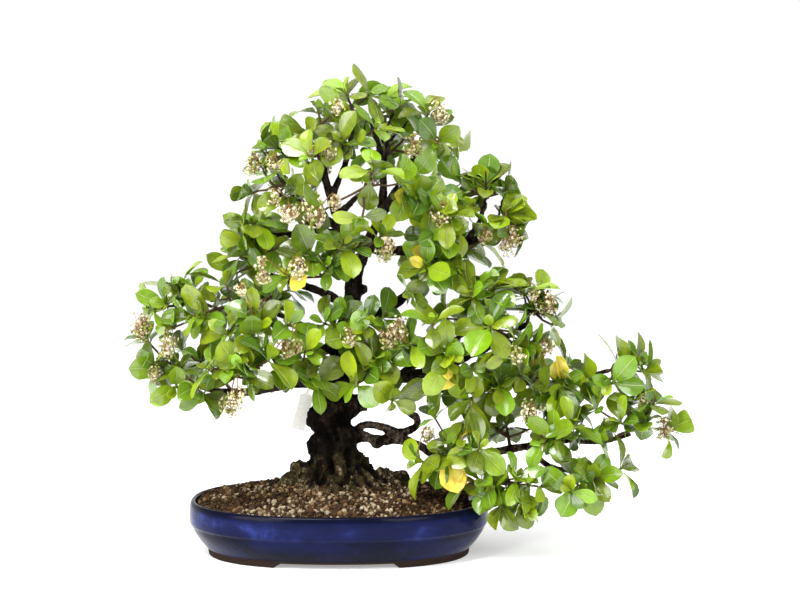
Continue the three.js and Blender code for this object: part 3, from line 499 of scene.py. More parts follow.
class Paint:
    """Builds one material: a Principled shader and the nodes that vary it over the surface."""

    def __init__(self, name: str) -> None:
        """Starts the material.

        Args:
            name: the material's name.
        """
        self.material = bpy.data.materials.new(name)
        self.material.use_nodes = True
        self.tree = self.material.node_tree
        self.shader = self.tree.nodes["Principled BSDF"]
        self.where = self.node("ShaderNodeTexCoord").outputs["Object"]

    def node(
        self, kind: str, settings: dict[str, object] | None = None, **values: Input
    ) -> bpy.types.Node:
        """Adds any node.

        Args:
            kind: the node's type.
            settings: its properties, which are set first.
            values: the values or links of its sockets, by socket name with _ for a space.

        Returns:
            The node.
        """
        node = self.tree.nodes.new(kind)
        for key, setting in (settings or {}).items():
            setattr(node, key, setting)
        for key, value in values.items():
            self.feed(node, key.replace("_", " "), value)
        return node

    def feed(self, node: bpy.types.Node, socket: str | int, value: Input) -> None:
        """Sets or links one input socket.

        Args:
            node: the node.
            socket: the input's name or place.
            value: the value or link.
        """
        target = node.inputs[socket]
        if isinstance(value, Value):
            value = value.socket
        if isinstance(value, bpy.types.NodeSocket):
            self.tree.links.new(value, target)
        else:
            target.default_value = value

    def value(self, node: bpy.types.Node, socket: str | int = 0) -> Value:
        """Wraps one of a node's outputs for shader maths."""
        return Value(self.tree, node.outputs[socket])

    def noise(
        self, scale: float, detail: float = 3.0, roughness: float = 0.55, stretch: Sequence[float] = (1, 1, 1)
    ) -> Value:
        """Adds a noise pattern.

        Args:
            scale: repeats a metre.
            detail: octaves.
            roughness: how strong the finer octaves are.
            stretch: scale along each axis.

        Returns:
            The noise, about 0.3 to 0.7.
        """
        at = self.node("ShaderNodeMapping", Vector=self.where, Scale=stretch).outputs[0]
        noise_node = self.node(
            "ShaderNodeTexNoise", None, Vector=at, Scale=scale, Detail=detail, Roughness=roughness
        )
        return self.value(noise_node, "Fac")

    def cells(self, scale: float, feature: str = "F1", output: str = "Distance") -> Value:
        """Adds a cell pattern.

        Args:
            scale: cells a metre.
            feature: which distance it measures.
            output: the output to take.

        Returns:
            The chosen output.
        """
        node = self.node("ShaderNodeTexVoronoi", {"feature": feature}, Vector=self.where, Scale=scale)
        return self.value(node, output)

    def mix(self, share: Input, a: Input, b: Input, blend: str = "MIX") -> bpy.types.NodeSocket:
        """Mixes two colours.

        Args:
            share: how much of the second colour.
            a: the first colour.
            b: the second colour.
            blend: the way they mix.

        Returns:
            The mixed colour.
        """
        node = self.node("ShaderNodeMix", {"data_type": "RGBA", "blend_type": blend})
        self.feed(node, 0, share)
        self.feed(node, 6, rgba(a))
        self.feed(node, 7, rgba(b))
        return node.outputs[2]

    def attribute(self, name: str, output: str = "Color") -> bpy.types.NodeSocket:
        """Reads an attribute that the piece carries."""
        return self.node("ShaderNodeAttribute", {"attribute_name": name}).outputs[output]

    def split(self, colour: bpy.types.NodeSocket) -> tuple[Value, Value, Value]:
        """Splits a colour into its three parts."""
        node = self.node("ShaderNodeSeparateColor", None, Color=colour)
        return tuple(self.value(node, place) for place in range(3))

    def place(self) -> tuple[Value, Value, Value]:
        """Splits the object's own coordinates into x, y and z."""
        node = self.node("ShaderNodeSeparateXYZ", None, Vector=self.where)
        return tuple(self.value(node, place) for place in range(3))

    def surface(
        self, colour: Input, roughness: Input, height: Value | None = None, bump: float = 0.0
    ) -> None:
        """Feeds the shader what changes over the surface.

        Args:
            colour: the base colour.
            roughness: the roughness.
            height: the relief, if there is any.
            bump: how deep the relief is, in metres.
        """
        self.feed(self.shader, "Base Color", rgba(colour))
        self.feed(self.shader, "Roughness", roughness)
        if height is not None:
            node = self.node("ShaderNodeBump", None, Height=height, Distance=bump, Strength=1.0)
            self.feed(self.shader, "Normal", node.outputs[0])

    def fixed(self, **values: float | Sequence[float]) -> None:
        """Sets what is the same all over, on the shader's own sockets."""
        for key, value in values.items():
            self.shader.inputs[key.replace("_", " ")].default_value = value


def rgba(colour: Input) -> Input:
    """Gives a plain colour its opaque fourth part, and leaves a link as it is.

    Args:
        colour: the plain colour or link.

    Returns:
        The colour with its fourth part, or the link.
    """
    if isinstance(colour, (Value, bpy.types.NodeSocket)):
        return colour
    return tuple(colour)[:3] + (1.0,)


def srgb(code: int) -> tuple[float, float, float]:
    """Turns a written colour such as 0x6FA32B into linear light.

    Args:
        code: the colour, two hexadecimal digits each for red, green and blue.

    Returns:
        Linear red, green and blue.
    """
    parts = [((code >> shift) & 255) / 255 for shift in (16, 8, 0)]
    return tuple(p / 12.92 if p <= 0.04045 else ((p + 0.055) / 1.055) ** 2.4 for p in parts)


@dataclass(frozen=True)
class BlueGlaze:
    """Cobalt glaze that pools lighter and milky on the pot's upper band, partly painted highlight, over a
    bare brown clay foot darkened further by painted shade.
    """

    deep: int = 0x060819
    bright: int = 0x111843
    # milky: the glaze's milky streaks, laid on partly as painted highlight on the upper band
    milky: int = 0x3C4E9C
    rim: int = 0x070818
    # clay and clay_grain: the bare clay's brown, made darker partly as painted shade under the pot's body
    clay: int = 0x1C1412
    clay_grain: int = 0x33261F
    foot_level: float = 0.0090
    ridge_level: float = 0.038
    band_top: float = 0.0665

    def build(self) -> bpy.types.Material:
        """Mixes the glaze.

        Returns:
            The material.
        """
        paint = Paint("blue_glaze")
        _, _, z = paint.place()
        pool = paint.noise(9, 4, 0.6, (1, 1, 2.4))
        streak = paint.noise(60, 3, 0.6, (1, 1, 0.25))
        # the upright upper band is made brighter than the rounded body: partly pooled glaze, partly painted
        # highlight
        band = z.ramp(self.ridge_level - 0.004, self.ridge_level + 0.006) * z.ramp(self.band_top, 0.060)
        body = paint.mix(pool.ramp(0.4, 0.66) * 0.6 + band * 0.4, srgb(self.deep), srgb(self.bright))
        # milky patches on the band: partly the glaze's own streaks, partly painted highlight
        milk_and_highlight = (pool.ramp(0.52, 0.72) * band * streak.ramp(0.3, 0.7)) * 0.62
        glazed = paint.mix(milk_and_highlight, body, srgb(self.milky))
        glazed = paint.mix(z.ramp(0.0585, 0.0625) * 0.8, glazed, srgb(self.rim))
        bare = z.ramp(self.foot_level + 0.0006, self.foot_level - 0.0006)
        grain = paint.noise(700, 3)
        # the bare foot's clay, darkened partly as painted shade under the body
        clay = paint.mix(grain, srgb(self.clay), srgb(self.clay_grain))
        colour = paint.mix(bare, glazed, clay)
        wave = paint.noise(40, 2) * (1 - bare) + grain * bare * 0.6
        paint.surface(colour, streak.ramp(0.2, 0.8) * 0.08 + 0.17 + bare * 0.6, wave, 0.0008)
        paint.fixed(Specular_IOR_Level=0.07)
        return paint.material


@dataclass(frozen=True)
class Grit:
    """One colour of the loose grit, each grain a little different from the next."""

    name: str
    main: int
    other: int
    fleck: int = 0x241808
    roughness: float = 0.92

    def build(self) -> bpy.types.Material:
        """Mixes the grit.

        Returns:
            The material.
        """
        paint = Paint(self.name)
        grain = paint.split(paint.cells(210, "F1", "Color").socket)[0]
        speck = paint.noise(1100, 2)
        colour = paint.mix(grain, srgb(self.main), srgb(self.other))
        colour = paint.mix(speck.ramp(0.35, 0.75) * 0.5, colour, srgb(self.fleck))
        paint.surface(colour, self.roughness, speck, 0.0006)
        paint.fixed(Specular_IOR_Level=0.15)
        return paint.material


@dataclass(frozen=True)
class OldBark:
    """Very dark, cracked bark with grey flakes, and a film of moss where the roots meet the soil; painted
    shade darkens its hollows, cracks and furrows, and painted highlight lightens its raised parts and the
    ridges of its roots.
    """

    dark: int = 0x070503
    brown: int = 0x1F1710
    grey: int = 0x463B2F
    limb: int = 0x6A5C50
    # crack: painted shade in the bark's cracks
    crack: int = 0x0A0706
    # furrow: painted shade in the carved furrows
    furrow: int = 0x040302
    root: int = 0x403224
    moss: int = 0x3C3C1A
    # painted highlight on the raised ridges of the roots
    ridge_highlight: int = 0x9A8A6A

    def build(self) -> bpy.types.Material:
        """Mixes the bark.

        Returns:
            The material.
        """
        paint = Paint("old_bark")
        _, _, z = paint.place()
        flake = paint.noise(120, 5, 0.65, (1, 1, 0.55))
        crack = paint.cells(150, "DISTANCE_TO_EDGE").ramp(0.0, 0.14)
        patch = paint.noise(26, 3)
        raised, furrow, stout = paint.split(paint.attribute("tint"))
        # painted shade and highlight: the hollows of the relief stay near black and the raised parts turn
        # brown
        colour = paint.mix(flake.ramp(0.38, 0.64) * raised.ramp(0.2, 0.6), srgb(self.dark), srgb(self.brown))
        # grey flakes, partly the bark's own and partly painted highlight, as they are kept to the raised
        # parts
        flakes_and_highlight = flake.ramp(0.5, 0.7) * raised.ramp(0.5, 0.85)
        colour = paint.mix(flakes_and_highlight * (patch.ramp(0.36, 0.6) * 0.5 + 0.3), colour, srgb(self.grey))
        limb = (1 - stout) * flake.ramp(0.4, 0.6) * (z.ramp(0.24, 0.15) * 0.5 + 0.2)
        colour = paint.mix(limb, colour, srgb(self.limb))
        # painted shade darkens the cracks
        colour = paint.mix((1 - crack) * 0.7, colour, srgb(self.crack))
        low = z.ramp(0.150, 0.085)
        # lighter root brown on the raised parts low down: partly the roots' own bark, partly painted
        # highlight
        colour = paint.mix(low * raised.ramp(0.25, 0.7) * 0.4, colour, srgb(self.root))
        mossy = low * patch.ramp(0.42, 0.6) * flake.ramp(0.4, 0.6) * 0.55
        colour = paint.mix(mossy, colour, srgb(self.moss))
        # painted highlight: pale lit tops on the raised ridges of the roots
        lit_ridges = paint.noise(110, 5, 0.7, (1, 1, 0.5)).ramp(0.46, 0.62) * raised.ramp(0.5, 0.85)
        colour = paint.mix(lit_ridges * z.ramp(0.128, 0.096) * crack * 0.7, colour, srgb(self.ridge_highlight))
        # painted shade darkens the carved furrows
        colour = paint.mix(furrow.ramp(0.25, 0.9) * 0.85, colour, srgb(self.furrow))
        height = flake * 0.7 + crack * 0.3
        paint.surface(colour, 0.9 - flake * 0.1, height, 0.0026)
        paint.fixed(Specular_IOR_Level=0.05)
        return paint.material


@dataclass(frozen=True)
class TwigBark:
    """Thin smooth bark of young twigs, brown near the wood and greener at the growing ends."""

    dark: int = 0x2A1C14
    light: int = 0x5A4030
    green: int = 0x6E6436

    def build(self) -> bpy.types.Material:
        """Mixes the twig's bark.

        Returns:
            The material.
        """
        paint = Paint("twig_bark")
        young = paint.split(paint.attribute("tint"))[0]
        fleck = paint.noise(420, 3)
        colour = paint.mix(fleck, srgb(self.dark), srgb(self.light))
        colour = paint.mix(young * 0.45, colour, srgb(self.green))
        paint.surface(colour, 0.72, fleck, 0.0005)
        paint.fixed(Specular_IOR_Level=0.2)
        return paint.material


@dataclass(frozen=True)
class LeafSkin:
    """A leaf's glossy skin: its rib and veins, its edge, and the tone that each leaf carries in its tint;
    rib, veins and the parts between the veins carry some painted highlight.
    """

    deep: int = 0x364402
    fresh: int = 0x98AC0E
    lush: int = 0x7EA80A
    # pale: the colour of rib and veins, partly painted highlight
    pale: int = 0xD8E490
    cool: int = 0x3F6E12
    yellow: int = 0xF0E04C
    ochre: int = 0xD8B43A
    scorched: int = 0x7A4A22
    roughness: float = 0.12
    specular: float = 0.5
    coat: float = 0.45

    def build(self) -> bpy.types.Material:
        """Mixes the leaf's skin.

        Returns:
            The material.
        """
        paint = Paint("leaf_skin")
        tone, age, chance = paint.split(paint.attribute("tint"))
        uv = paint.node("ShaderNodeUVMap", {"uv_map": "leaf"}).outputs[0]
        across, along = (paint.value(paint.node("ShaderNodeSeparateXYZ", None, Vector=uv), k) for k in (0, 1))
        out = abs(across - 0.5)
        rib = out.ramp(0.035, 0.01)
        vein = ((along * 62 - out * 58 + chance * 3).sine()).ramp(0.72, 1.0) * out.ramp(0.5, 0.3)
        mottle = paint.noise(90, 4, 0.6)
        fresh = paint.mix(chance.ramp(0.05, 0.85), srgb(self.fresh), srgb(self.lush))
        colour = paint.mix(tone * 0.85 + mottle.ramp(0.35, 0.7) * 0.15, srgb(self.deep), fresh)
        cool = chance.ramp(0.5, 0.9) * (1 - tone) * 0.55
        colour = paint.mix(cool, colour, srgb(self.cool))
        # painted highlight: the puffed parts between the veins are made lighter, as the quilted surface would
        # catch the light
        quilt_highlight = (1 - vein) * out.ramp(0.06, 0.2) * out.ramp(0.48, 0.3)
        colour = paint.mix(quilt_highlight * mottle.ramp(0.3, 0.6) * 0.16, colour, fresh)
        # paler rib and veins: partly the leaf's own paler veins, partly painted highlight along them
        colour = paint.mix(rib * (chance * 0.3 + 0.08) + vein * 0.12, colour, srgb(self.pale))
        old = paint.mix(mottle.ramp(0.42, 0.66), srgb(self.yellow), srgb(self.ochre))
        colour = paint.mix(age.ramp(0.25, 0.9), colour, old)
        brown = age.ramp(0.6, 1.0) * out.ramp(0.42, 0.5) * mottle.ramp(0.4, 0.6)
        colour = paint.mix(brown * 0.7, colour, srgb(self.scorched))
        height = mottle * 0.25 - rib * 0.6 - vein * 0.35
        paint.surface(colour, mottle * 0.2 + self.roughness, height, 0.0014)
        paint.fixed(Specular_IOR_Level=self.specular, Coat_Weight=self.coat, Coat_Roughness=0.12)
        paint.fixed(Subsurface_Weight=0.22, Subsurface_Radius=(0.5, 1.0, 0.18), Subsurface_Scale=0.0022)
        return paint.material


@dataclass(frozen=True)
class PlainFinish:
    """A finish of one main colour with a fine grain, for the label and the screens."""

    name: str
    main: int
    other: int
    roughness: float
    grain: float = 300.0
    depth: float = 0.0003
    through: float = 0.0

    def build(self) -> bpy.types.Material:
        """Mixes the finish.

        Returns:
            The material.
        """
        paint = Paint(self.name)
        grain = paint.noise(self.grain, 4)
        colour = paint.mix(grain.ramp(0.35, 0.68), srgb(self.main), srgb(self.other))
        paint.surface(colour, grain * 0.1 + (self.roughness - 0.05), grain, self.depth)
        paint.fixed(Subsurface_Weight=self.through, Subsurface_Radius=(1, 1, 1), Subsurface_Scale=0.004)
        return paint.material


# The bench: Blender's own tools, and plain arrays for what is copied many times


def deselect() -> None:
    """Deselects every object, the solid model's nodes too."""
    bpy.ops.object.select_all(action="DESELECT")


class Workpiece:
    """One object on the bench, shaped with Blender's own tools."""

    def __init__(self, name: str) -> None:
        """Takes the object that an operator has just added.

        Args:
            name: its name in the scene.
        """
        self.object = bpy.context.object
        self.object.name = name

    def pick(self) -> None:
        """Makes this the only selected object and the active one."""
        deselect()
        self.object.select_set(True)
        bpy.context.view_layer.objects.active = self.object

    def edit(self, mode: str = "VERT") -> None:
        """Opens the mesh for editing.

        Args:
            mode: the kind of element that can be selected, VERT, EDGE or FACE.
        """
        self.pick()
        kinds = ("VERT", "EDGE", "FACE")
        bpy.context.tool_settings.mesh_select_mode = tuple(mode == kind for kind in kinds)
        bpy.ops.object.mode_set(mode="EDIT")

    def leave(self) -> None:
        """Closes the mesh again."""
        bpy.ops.object.mode_set(mode="OBJECT")

    def points(self) -> np.ndarray:
        """Reads the mesh's points.

        Returns:
            Rows of x, y, z.
        """
        held = np.empty(3 * len(self.object.data.vertices))
        self.object.data.vertices.foreach_get("co", held)
        return held.reshape(-1, 3)

    def move(self, points: np.ndarray) -> None:
        """Moves the mesh's points to the given rows."""
        self.object.data.vertices.foreach_set("co", np.asarray(points, float).ravel())
        self.object.data.update()

    def apply(self, kind: str, **settings: object) -> None:
        """Adds a modifier and applies it.

        Args:
            kind: the modifier's type.
            settings: its properties.
        """
        self.pick()
        modifier = self.object.modifiers.new(kind.lower(), kind)
        for key, value in settings.items():
            setattr(modifier, key, value)
        bpy.ops.object.modifier_apply(modifier=modifier.name)

    def cut(self, cutter: "Workpiece") -> None:
        """Cuts another piece's shape out of this one, and takes that piece away."""
        self.apply("BOOLEAN", operation="DIFFERENCE", solver="EXACT", object=cutter.object)
        bpy.data.objects.remove(cutter.object)

    def smooth(self, degrees: float = 35.0) -> None:
        """Shades smoothly except across edges sharper than the angle."""
        self.pick()
        bpy.ops.object.shade_smooth_by_angle(angle=math.radians(degrees))

    def join(self, others: Sequence["Workpiece"]) -> None:
        """Joins other pieces into this one.

        Args:
            others: the pieces that are taken up.
        """
        self.pick()
        for other in others:
            other.object.select_set(True)
        bpy.ops.object.join()

    def dress(self, material: bpy.types.Material) -> None:
        """Gives the whole piece one material.

        Args:
            material: the material.
        """
        self.object.data.materials.clear()
        self.object.data.materials.append(material)

    def deliver(self, slot: str, *nodes: str) -> None:
        """Makes the piece part of the tree.

        Args:
            slot: not used.
            nodes: the solid model's nodes that it stands for.
        """
        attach(self.object, "root")
        if nodes:
            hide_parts(*nodes)
        log.info("%s: %d faces", self.object.name, len(self.object.data.polygons))


def oval(half_length: float, half_depth: float, sides: int, fullness: float) -> np.ndarray:
    """Lays out the points of an oval round the middle.

    Args:
        half_length: half its size along X.
        half_depth: half its size along Y.
        sides: how many points.
        fullness: 2 for an ellipse, more for a squarer oval.

    Returns:
        Rows of x and y.
    """
    turn = np.arange(sides) * 2 * math.pi / sides
    c, s = np.cos(turn), np.sin(turn)
    x = half_length * np.sign(c) * np.abs(c) ** (2 / fullness)
    y = half_depth * np.sign(s) * np.abs(s) ** (2 / fullness)
    return np.stack([x, y], 1)


def drawn_up(
    name: str, plan: Plan, sections: Sequence[Sequence[float]], sides: int, fullness: float = 2.0
) -> Workpiece:
    """Draws a closed body up from an oval by extruding and resizing it from section to section.

    Args:
        name: the piece's name.
        plan: the plan.
        sections: centre x, y, z and the half sizes along x and y of each section, in millimetres.
        sides: points round the body.
        fullness: how square the oval is.

    Returns:
        The piece, closed at both ends.
    """
    deselect()
    x, y, z, half_x, half_y = sections[0]
    bpy.ops.mesh.primitive_circle_add(vertices=sides, radius=half_x * MM, fill_type="NOTHING")
    piece = Workpiece(name)
    ring = oval(half_x, half_y, sides, fullness) + (x, y)
    piece.move(plan.place(np.column_stack([ring, np.full(sides, z)])))
    piece.edit("EDGE")
    bpy.ops.mesh.select_all(action="SELECT")
    for before, after in zip(sections, sections[1:]):
        step = Vector([after[k] - before[k] for k in range(3)]) * MM
        bpy.ops.mesh.extrude_edges_move(TRANSFORM_OT_translate={"value": tuple(step)})
        wider = (after[3] / before[3], after[4] / before[4], 1.0)
        bpy.ops.transform.resize(value=wider, center_override=tuple(plan.spot(after[:3])))
    bpy.ops.mesh.edge_face_add()
    bpy.ops.mesh.select_all(action="DESELECT")
    bpy.ops.mesh.select_non_manifold()
    bpy.ops.mesh.edge_face_add()
    bpy.ops.mesh.select_all(action="SELECT")
    bpy.ops.mesh.normals_make_consistent(inside=False)
    piece.leave()
    return piece


def smooth_line(points: Sequence[Sequence[float]], steps: int) -> np.ndarray:
    """Runs a smooth line through points, evenly spaced along its length.

    Args:
        points: the points that it passes through.
        steps: how many stretches it is given in.

    Returns:
        Rows of x, y, z, one more than the stretches.
    """
    p = np.asarray(points, float)
    if len(p) == 2:
        return p[0] + np.linspace(0, 1, steps + 1)[:, None] * (p[1] - p[0])
    p = np.vstack([2 * p[0] - p[1], p, 2 * p[-1] - p[-2]])
    rows = []
    for a, b, c, d in zip(p, p[1:], p[2:], p[3:]):
        t = np.cumsum([0.0] + [max(np.linalg.norm(v - u), 1e-6) ** 0.5 for u, v in ((a, b), (b, c), (c, d))])
        for s in np.linspace(t[1], t[2], 12, endpoint=False):
            ab = (a * (t[1] - s) + b * (s - t[0])) / (t[1] - t[0])
            bc = (b * (t[2] - s) + c * (s - t[1])) / (t[2] - t[1])
            cd = (c * (t[3] - s) + d * (s - t[2])) / (t[3] - t[2])
            abc = (ab * (t[2] - s) + bc * (s - t[0])) / (t[2] - t[0])
            bcd = (bc * (t[3] - s) + cd * (s - t[1])) / (t[3] - t[1])
            rows.append((abc * (t[2] - s) + bcd * (s - t[1])) / (t[2] - t[1]))
    rows = np.vstack(rows + [p[-2]])
    run = np.concatenate([[0.0], np.cumsum(np.linalg.norm(np.diff(rows, axis=0), axis=1))])
    at = np.linspace(0, run[-1], steps + 1)
    return np.stack([np.interp(at, run, rows[:, k]) for k in range(3)], 1)


def rods(
    name: str, plan: Plan, lines: Sequence[tuple[np.ndarray, Sequence[float]]], roundness: int
) -> Workpiece:
    """Makes tapering rods along lines, as one mesh of closed tubes.

    Args:
        name: the piece's name.
        plan: the plan.
        lines: rows of points and the radius at each, in millimetres.
        roundness: the bevel's resolution.

    Returns:
        The piece.
    """
    deselect()
    bpy.ops.curve.primitive_nurbs_path_add(radius=0.01)
    piece = Workpiece(name)
    curve = piece.object.data
    curve.splines.clear()
    curve.bevel_depth = MM
    curve.bevel_resolution = roundness
    curve.use_fill_caps = True
    for points, radii in lines:
        spline = curve.splines.new("POLY")
        spline.points.add(len(points) - 1)
        placed = plan.place(points)
        spline.points.foreach_set("co", np.column_stack([placed, np.ones(len(placed))]).ravel())
        spline.points.foreach_set("radius", np.asarray(radii, float))
    piece.pick()
    bpy.ops.object.convert(target="MESH")
    return piece


@dataclass
class Shape:
    """A mesh as plain arrays, so that it can be bent and copied many times into one piece.

    The arrays hold its points, the point at each face's corner, each face's first corner, and its leaf map.
    """

    points: np.ndarray
    corners: np.ndarray
    starts: np.ndarray
    flat: np.ndarray

    @staticmethod
    def taken_from(piece: Workpiece) -> "Shape":
        """Reads a template's arrays and takes the template itself off the bench.

        Args:
            piece: the template.

        Returns:
            Its shape.
        """
        mesh = piece.object.data
        corners = np.empty(len(mesh.loops), int)
        mesh.loops.foreach_get("vertex_index", corners)
        starts = np.empty(len(mesh.polygons), int)
        mesh.polygons.foreach_get("loop_start", starts)
        flat = np.zeros(2 * len(mesh.loops))
        if mesh.uv_layers:
            mesh.uv_layers[0].uv.foreach_get("vector", flat)
        shape = Shape(piece.points(), corners, starts, flat)
        bpy.data.objects.remove(piece.object)
        return shape

    def copied(self, name: str, copies: Sequence[np.ndarray], tints: Sequence[Sequence[float]]) -> Workpiece:
        """Makes one piece of many copies.

        Args:
            name: the piece's name.
            copies: the points of each copy, in metres of the frame.
            tints: the colour attribute of each copy.

        Returns:
            The piece.
        """
        count = len(copies)
        mesh = bpy.data.meshes.new(name)
        mesh.vertices.add(count * len(self.points))
        mesh.vertices.foreach_set("co", np.concatenate(copies).ravel())
        mesh.loops.add(count * len(self.corners))
        offsets = np.repeat(np.arange(count) * len(self.points), len(self.corners))
        mesh.loops.foreach_set("vertex_index", np.tile(self.corners, count) + offsets)
        mesh.polygons.add(count * len(self.starts))
        offsets = np.repeat(np.arange(count) * len(self.corners), len(self.starts))
        mesh.polygons.foreach_set("loop_start", np.tile(self.starts, count) + offsets)
        mesh.uv_layers.new(name="leaf").uv.foreach_set("vector", np.tile(self.flat, count))
        tint = mesh.color_attributes.new("tint", "FLOAT_COLOR", "POINT")
        shades = np.repeat(np.array([tuple(t)[:3] + (1.0,) for t in tints], float), len(self.points), axis=0)
        tint.data.foreach_set("color", shades.ravel())
        mesh.update(calc_edges=True)
        made = bpy.data.objects.new(name, mesh)
        bpy.context.scene.collection.objects.link(made)
        bpy.context.view_layer.objects.active = made
        return Workpiece(name)


def tinted(piece: Workpiece, tint: Sequence[float]) -> None:
    """Gives a piece the tint attribute and the leaf map of the pieces that it is joined with.

    Args:
        piece: the piece.
        tint: the one value that it has all over.
    """
    mesh = piece.object.data
    held = mesh.color_attributes.new("tint", "FLOAT_COLOR", "POINT")
    held.data.foreach_set("color", np.tile(tuple(tint)[:3] + (1.0,), len(mesh.vertices)))
    if not mesh.uv_layers:
        mesh.uv_layers.new(name="leaf")


# The pot and what is in it


@dataclass
class Pot:
    """The glazed oval pot: a bowl with an upright band over a rounded body, on a foot with two openings."""

    plan: Plan
    rings: Sequence[tuple[float, float]] = (
        (34, 8), (32.6, 6.8), (32, 0.8), (31.2, 0), (24, 0), (23, 0.8), (22.4, 6.4), (21.6, 8.8), (19.4, 11),
        (15.4, 15.4), (11.5, 20), (8.2, 25), (5, 30), (3.4, 33.6), (2.2, 37), (1.5, 38.4), (0.3, 39.4),
        (-0.5, 41), (-0.8, 46), (-0.8, 52), (-0.4, 58), (0.3, 63), (1.1, 65.4), (2.2, 66.8), (3.6, 67.5),
        (5.2, 67.6), (6.6, 67), (7.6, 65.6), (8.2, 63), (8.6, 60), (10, 42), (13, 33), (20, 25), (27, 20.6),
        (34, 19),
    )
    sides: int = 120
    foot_gap: tuple[float, float] = (78.0, 69.0)
    foot_gap_levels: tuple[float, float] = (-1.0, 6.0)
    foot_gap_reach: float = 200.0
    drain_radius: float = 11.0
    drain_level: float = 14.0

    def build(self) -> None:
        """Builds and dresses the pot."""
        sections = [
            (0, 0, level, POT_HALF_LENGTH - inset, POT_HALF_DEPTH - inset) for inset, level in self.rings
        ]
        pot = drawn_up("glazed_pot", self.plan, sections, self.sides, POT_FULLNESS)
        for side in (-0.5, 0.5):
            deselect()
            bpy.ops.mesh.primitive_cylinder_add(
                vertices=48,
                radius=self.drain_radius * MM,
                depth=0.03,
                location=self.plan.spot((side * DRAIN_SPACING, 0, self.drain_level)),
            )
            pot.cut(Workpiece("drain_cutter"))
        pot.cut(self.gap_cutter())
        pot.apply("BEVEL", width=0.0007, segments=2, limit_method="ANGLE", angle_limit=math.radians(50))
        pot.smooth(30)
        pot.dress(BlueGlaze().build())
        pot.deliver("glaze", "pot")

    def gap_cutter(self) -> Workpiece:
        """Makes the wedge that opens the foot at its front and back.

        Returns:
            The wedge.
        """
        deselect()
        bpy.ops.mesh.primitive_cube_add(size=1.0, location=(0, 0, 0))
        cutter = Workpiece("foot_cutter")
        wide, narrow = self.foot_gap
        low, high = self.foot_gap_levels
        p = cutter.points()
        half = np.where(p[:, 2] > 0, narrow, wide)
        level = np.where(p[:, 2] > 0, high, low)
        wedge = np.column_stack([np.sign(p[:, 0]) * half, np.sign(p[:, 1]) * self.foot_gap_reach, level])
        cutter.move(self.plan.place(wedge))
        return cutter


def soil_point(turn: float, share: float) -> Vector:
    """Finds a point of the soil's surface.

    Args:
        turn: direction from the mound's top, in radians.
        share: 0 at the mound's top and 1 at the pot's wall.

    Returns:
        The point, in millimetres from the pot's middle.
    """
    c, s = math.cos(turn), math.sin(turn)
    edge_x = (POT_HALF_LENGTH - SOIL_EDGE_INSET) * math.copysign(abs(c) ** (2 / POT_FULLNESS), c)
    edge_y = (POT_HALF_DEPTH - SOIL_EDGE_INSET) * math.copysign(abs(s) ** (2 / POT_FULLNESS), s)
    x = lerp(MOUND_TOP[0], edge_x, share)
    y = lerp(MOUND_TOP[1], edge_y, share)
    relief = math.sin(x * 0.71 + 1.3 * math.sin(y * 0.43)) * math.sin(y * 0.83 + 1.1 * math.sin(x * 0.37))
    level = SOIL_EDGE_LEVEL + SOIL_MOUND_RISE * (1 - share**1.5) + 1.5 * relief * min(1.0, share * 4)
    return Vector((x, y, level))


class GritTone(Enum):
    """The colours of the loose grit, each with the name of the piece that its grains make."""

    TAN = "grit_tan"
    BROWN = "grit_brown"
    DARK = "grit_dark"
    PALE = "grit_pale"


@dataclass
class GritCover:
    """Loose grit over the soil: thousands of small broken grains in four colours."""

    plan: Plan
    grains: int = 6200
    smallest: float = 1.3
    largest: float = 4.2
    seed: int = 4021
    colours: Sequence[tuple[GritTone, int, int]] = (
        (GritTone.TAN, 0x564028, 0x7E6442),
        (GritTone.BROWN, 0x32210F, 0x4E3824),
        (GritTone.DARK, 0x180E04, 0x32220F),
        (GritTone.PALE, 0x74644E, 0xB0A188),
    )
    limits: Sequence[tuple[float, GritTone]] = (
        (0.13, GritTone.PALE), (0.36, GritTone.TAN), (0.72, GritTone.BROWN),
    )

    def build(self) -> None:
        """Builds the grains of each colour as one piece."""
        rng = random.Random(self.seed)
        template = self.template()
        heaps: dict[GritTone, list[np.ndarray]] = {tone: [] for tone in GritTone}
        for _ in range(self.grains):
            share = math.sqrt(rng.uniform(0.05, 0.98))
            at = soil_point(rng.uniform(0, 2 * math.pi), share)
            radius = self.smallest + (self.largest - self.smallest) * rng.random() ** 2.2
            if share > 0.955:
                at.z -= (share - 0.955) * 30
            axis = Vector([rng.gauss(0, 1) for _ in range(3)]).normalized()
            turned = np.array(Quaternion(axis, rng.uniform(0, 6.28)).to_matrix())
            size = np.array([rng.uniform(0.55, 1.25) for _ in range(3)]) * radius
            grain = (template.points * size) @ turned.T + np.array(at + UP * radius * 0.3)
            heaps[self.tone_at(at, rng)].append(self.plan.place(grain))
        for tone, main, other in self.colours:
            piece = template.copied(tone.value, heaps[tone], [(0, 0, 0)] * len(heaps[tone]))
            piece.dress(Grit(tone.value, main, other).build())
            piece.deliver("grit")

    def template(self) -> Shape:
        """Models one broken grain.

        Returns:
            Its shape, about 1 in radius.
        """
        rng = random.Random(self.seed + 1)
        deselect()
        bpy.ops.mesh.primitive_ico_sphere_add(subdivisions=1, radius=1.0)
        grain = Workpiece("grain")
        grain.move(grain.points() * np.array([[rng.uniform(0.72, 1.2)] for _ in grain.points()]))
        return Shape.taken_from(grain)

    def tone_at(self, at: Vector, rng: random.Random) -> GritTone:
        """Chooses a grain's colour: paler in front of the trunk, darker at the back and the ends.

        Args:
            at: the grain's place.
            rng: the draws.

        Returns:
            The colour.
        """
        shade = 0.9 * noise.noise(at * 0.022) + 0.16 * abs(at.x) / 100 + 0.25 * at.y / 100
        draw = rng.random() + 0.55 * shade
        for limit, tone in self.limits:
            if draw < limit:
                return tone
        return GritTone.DARK


# The wood


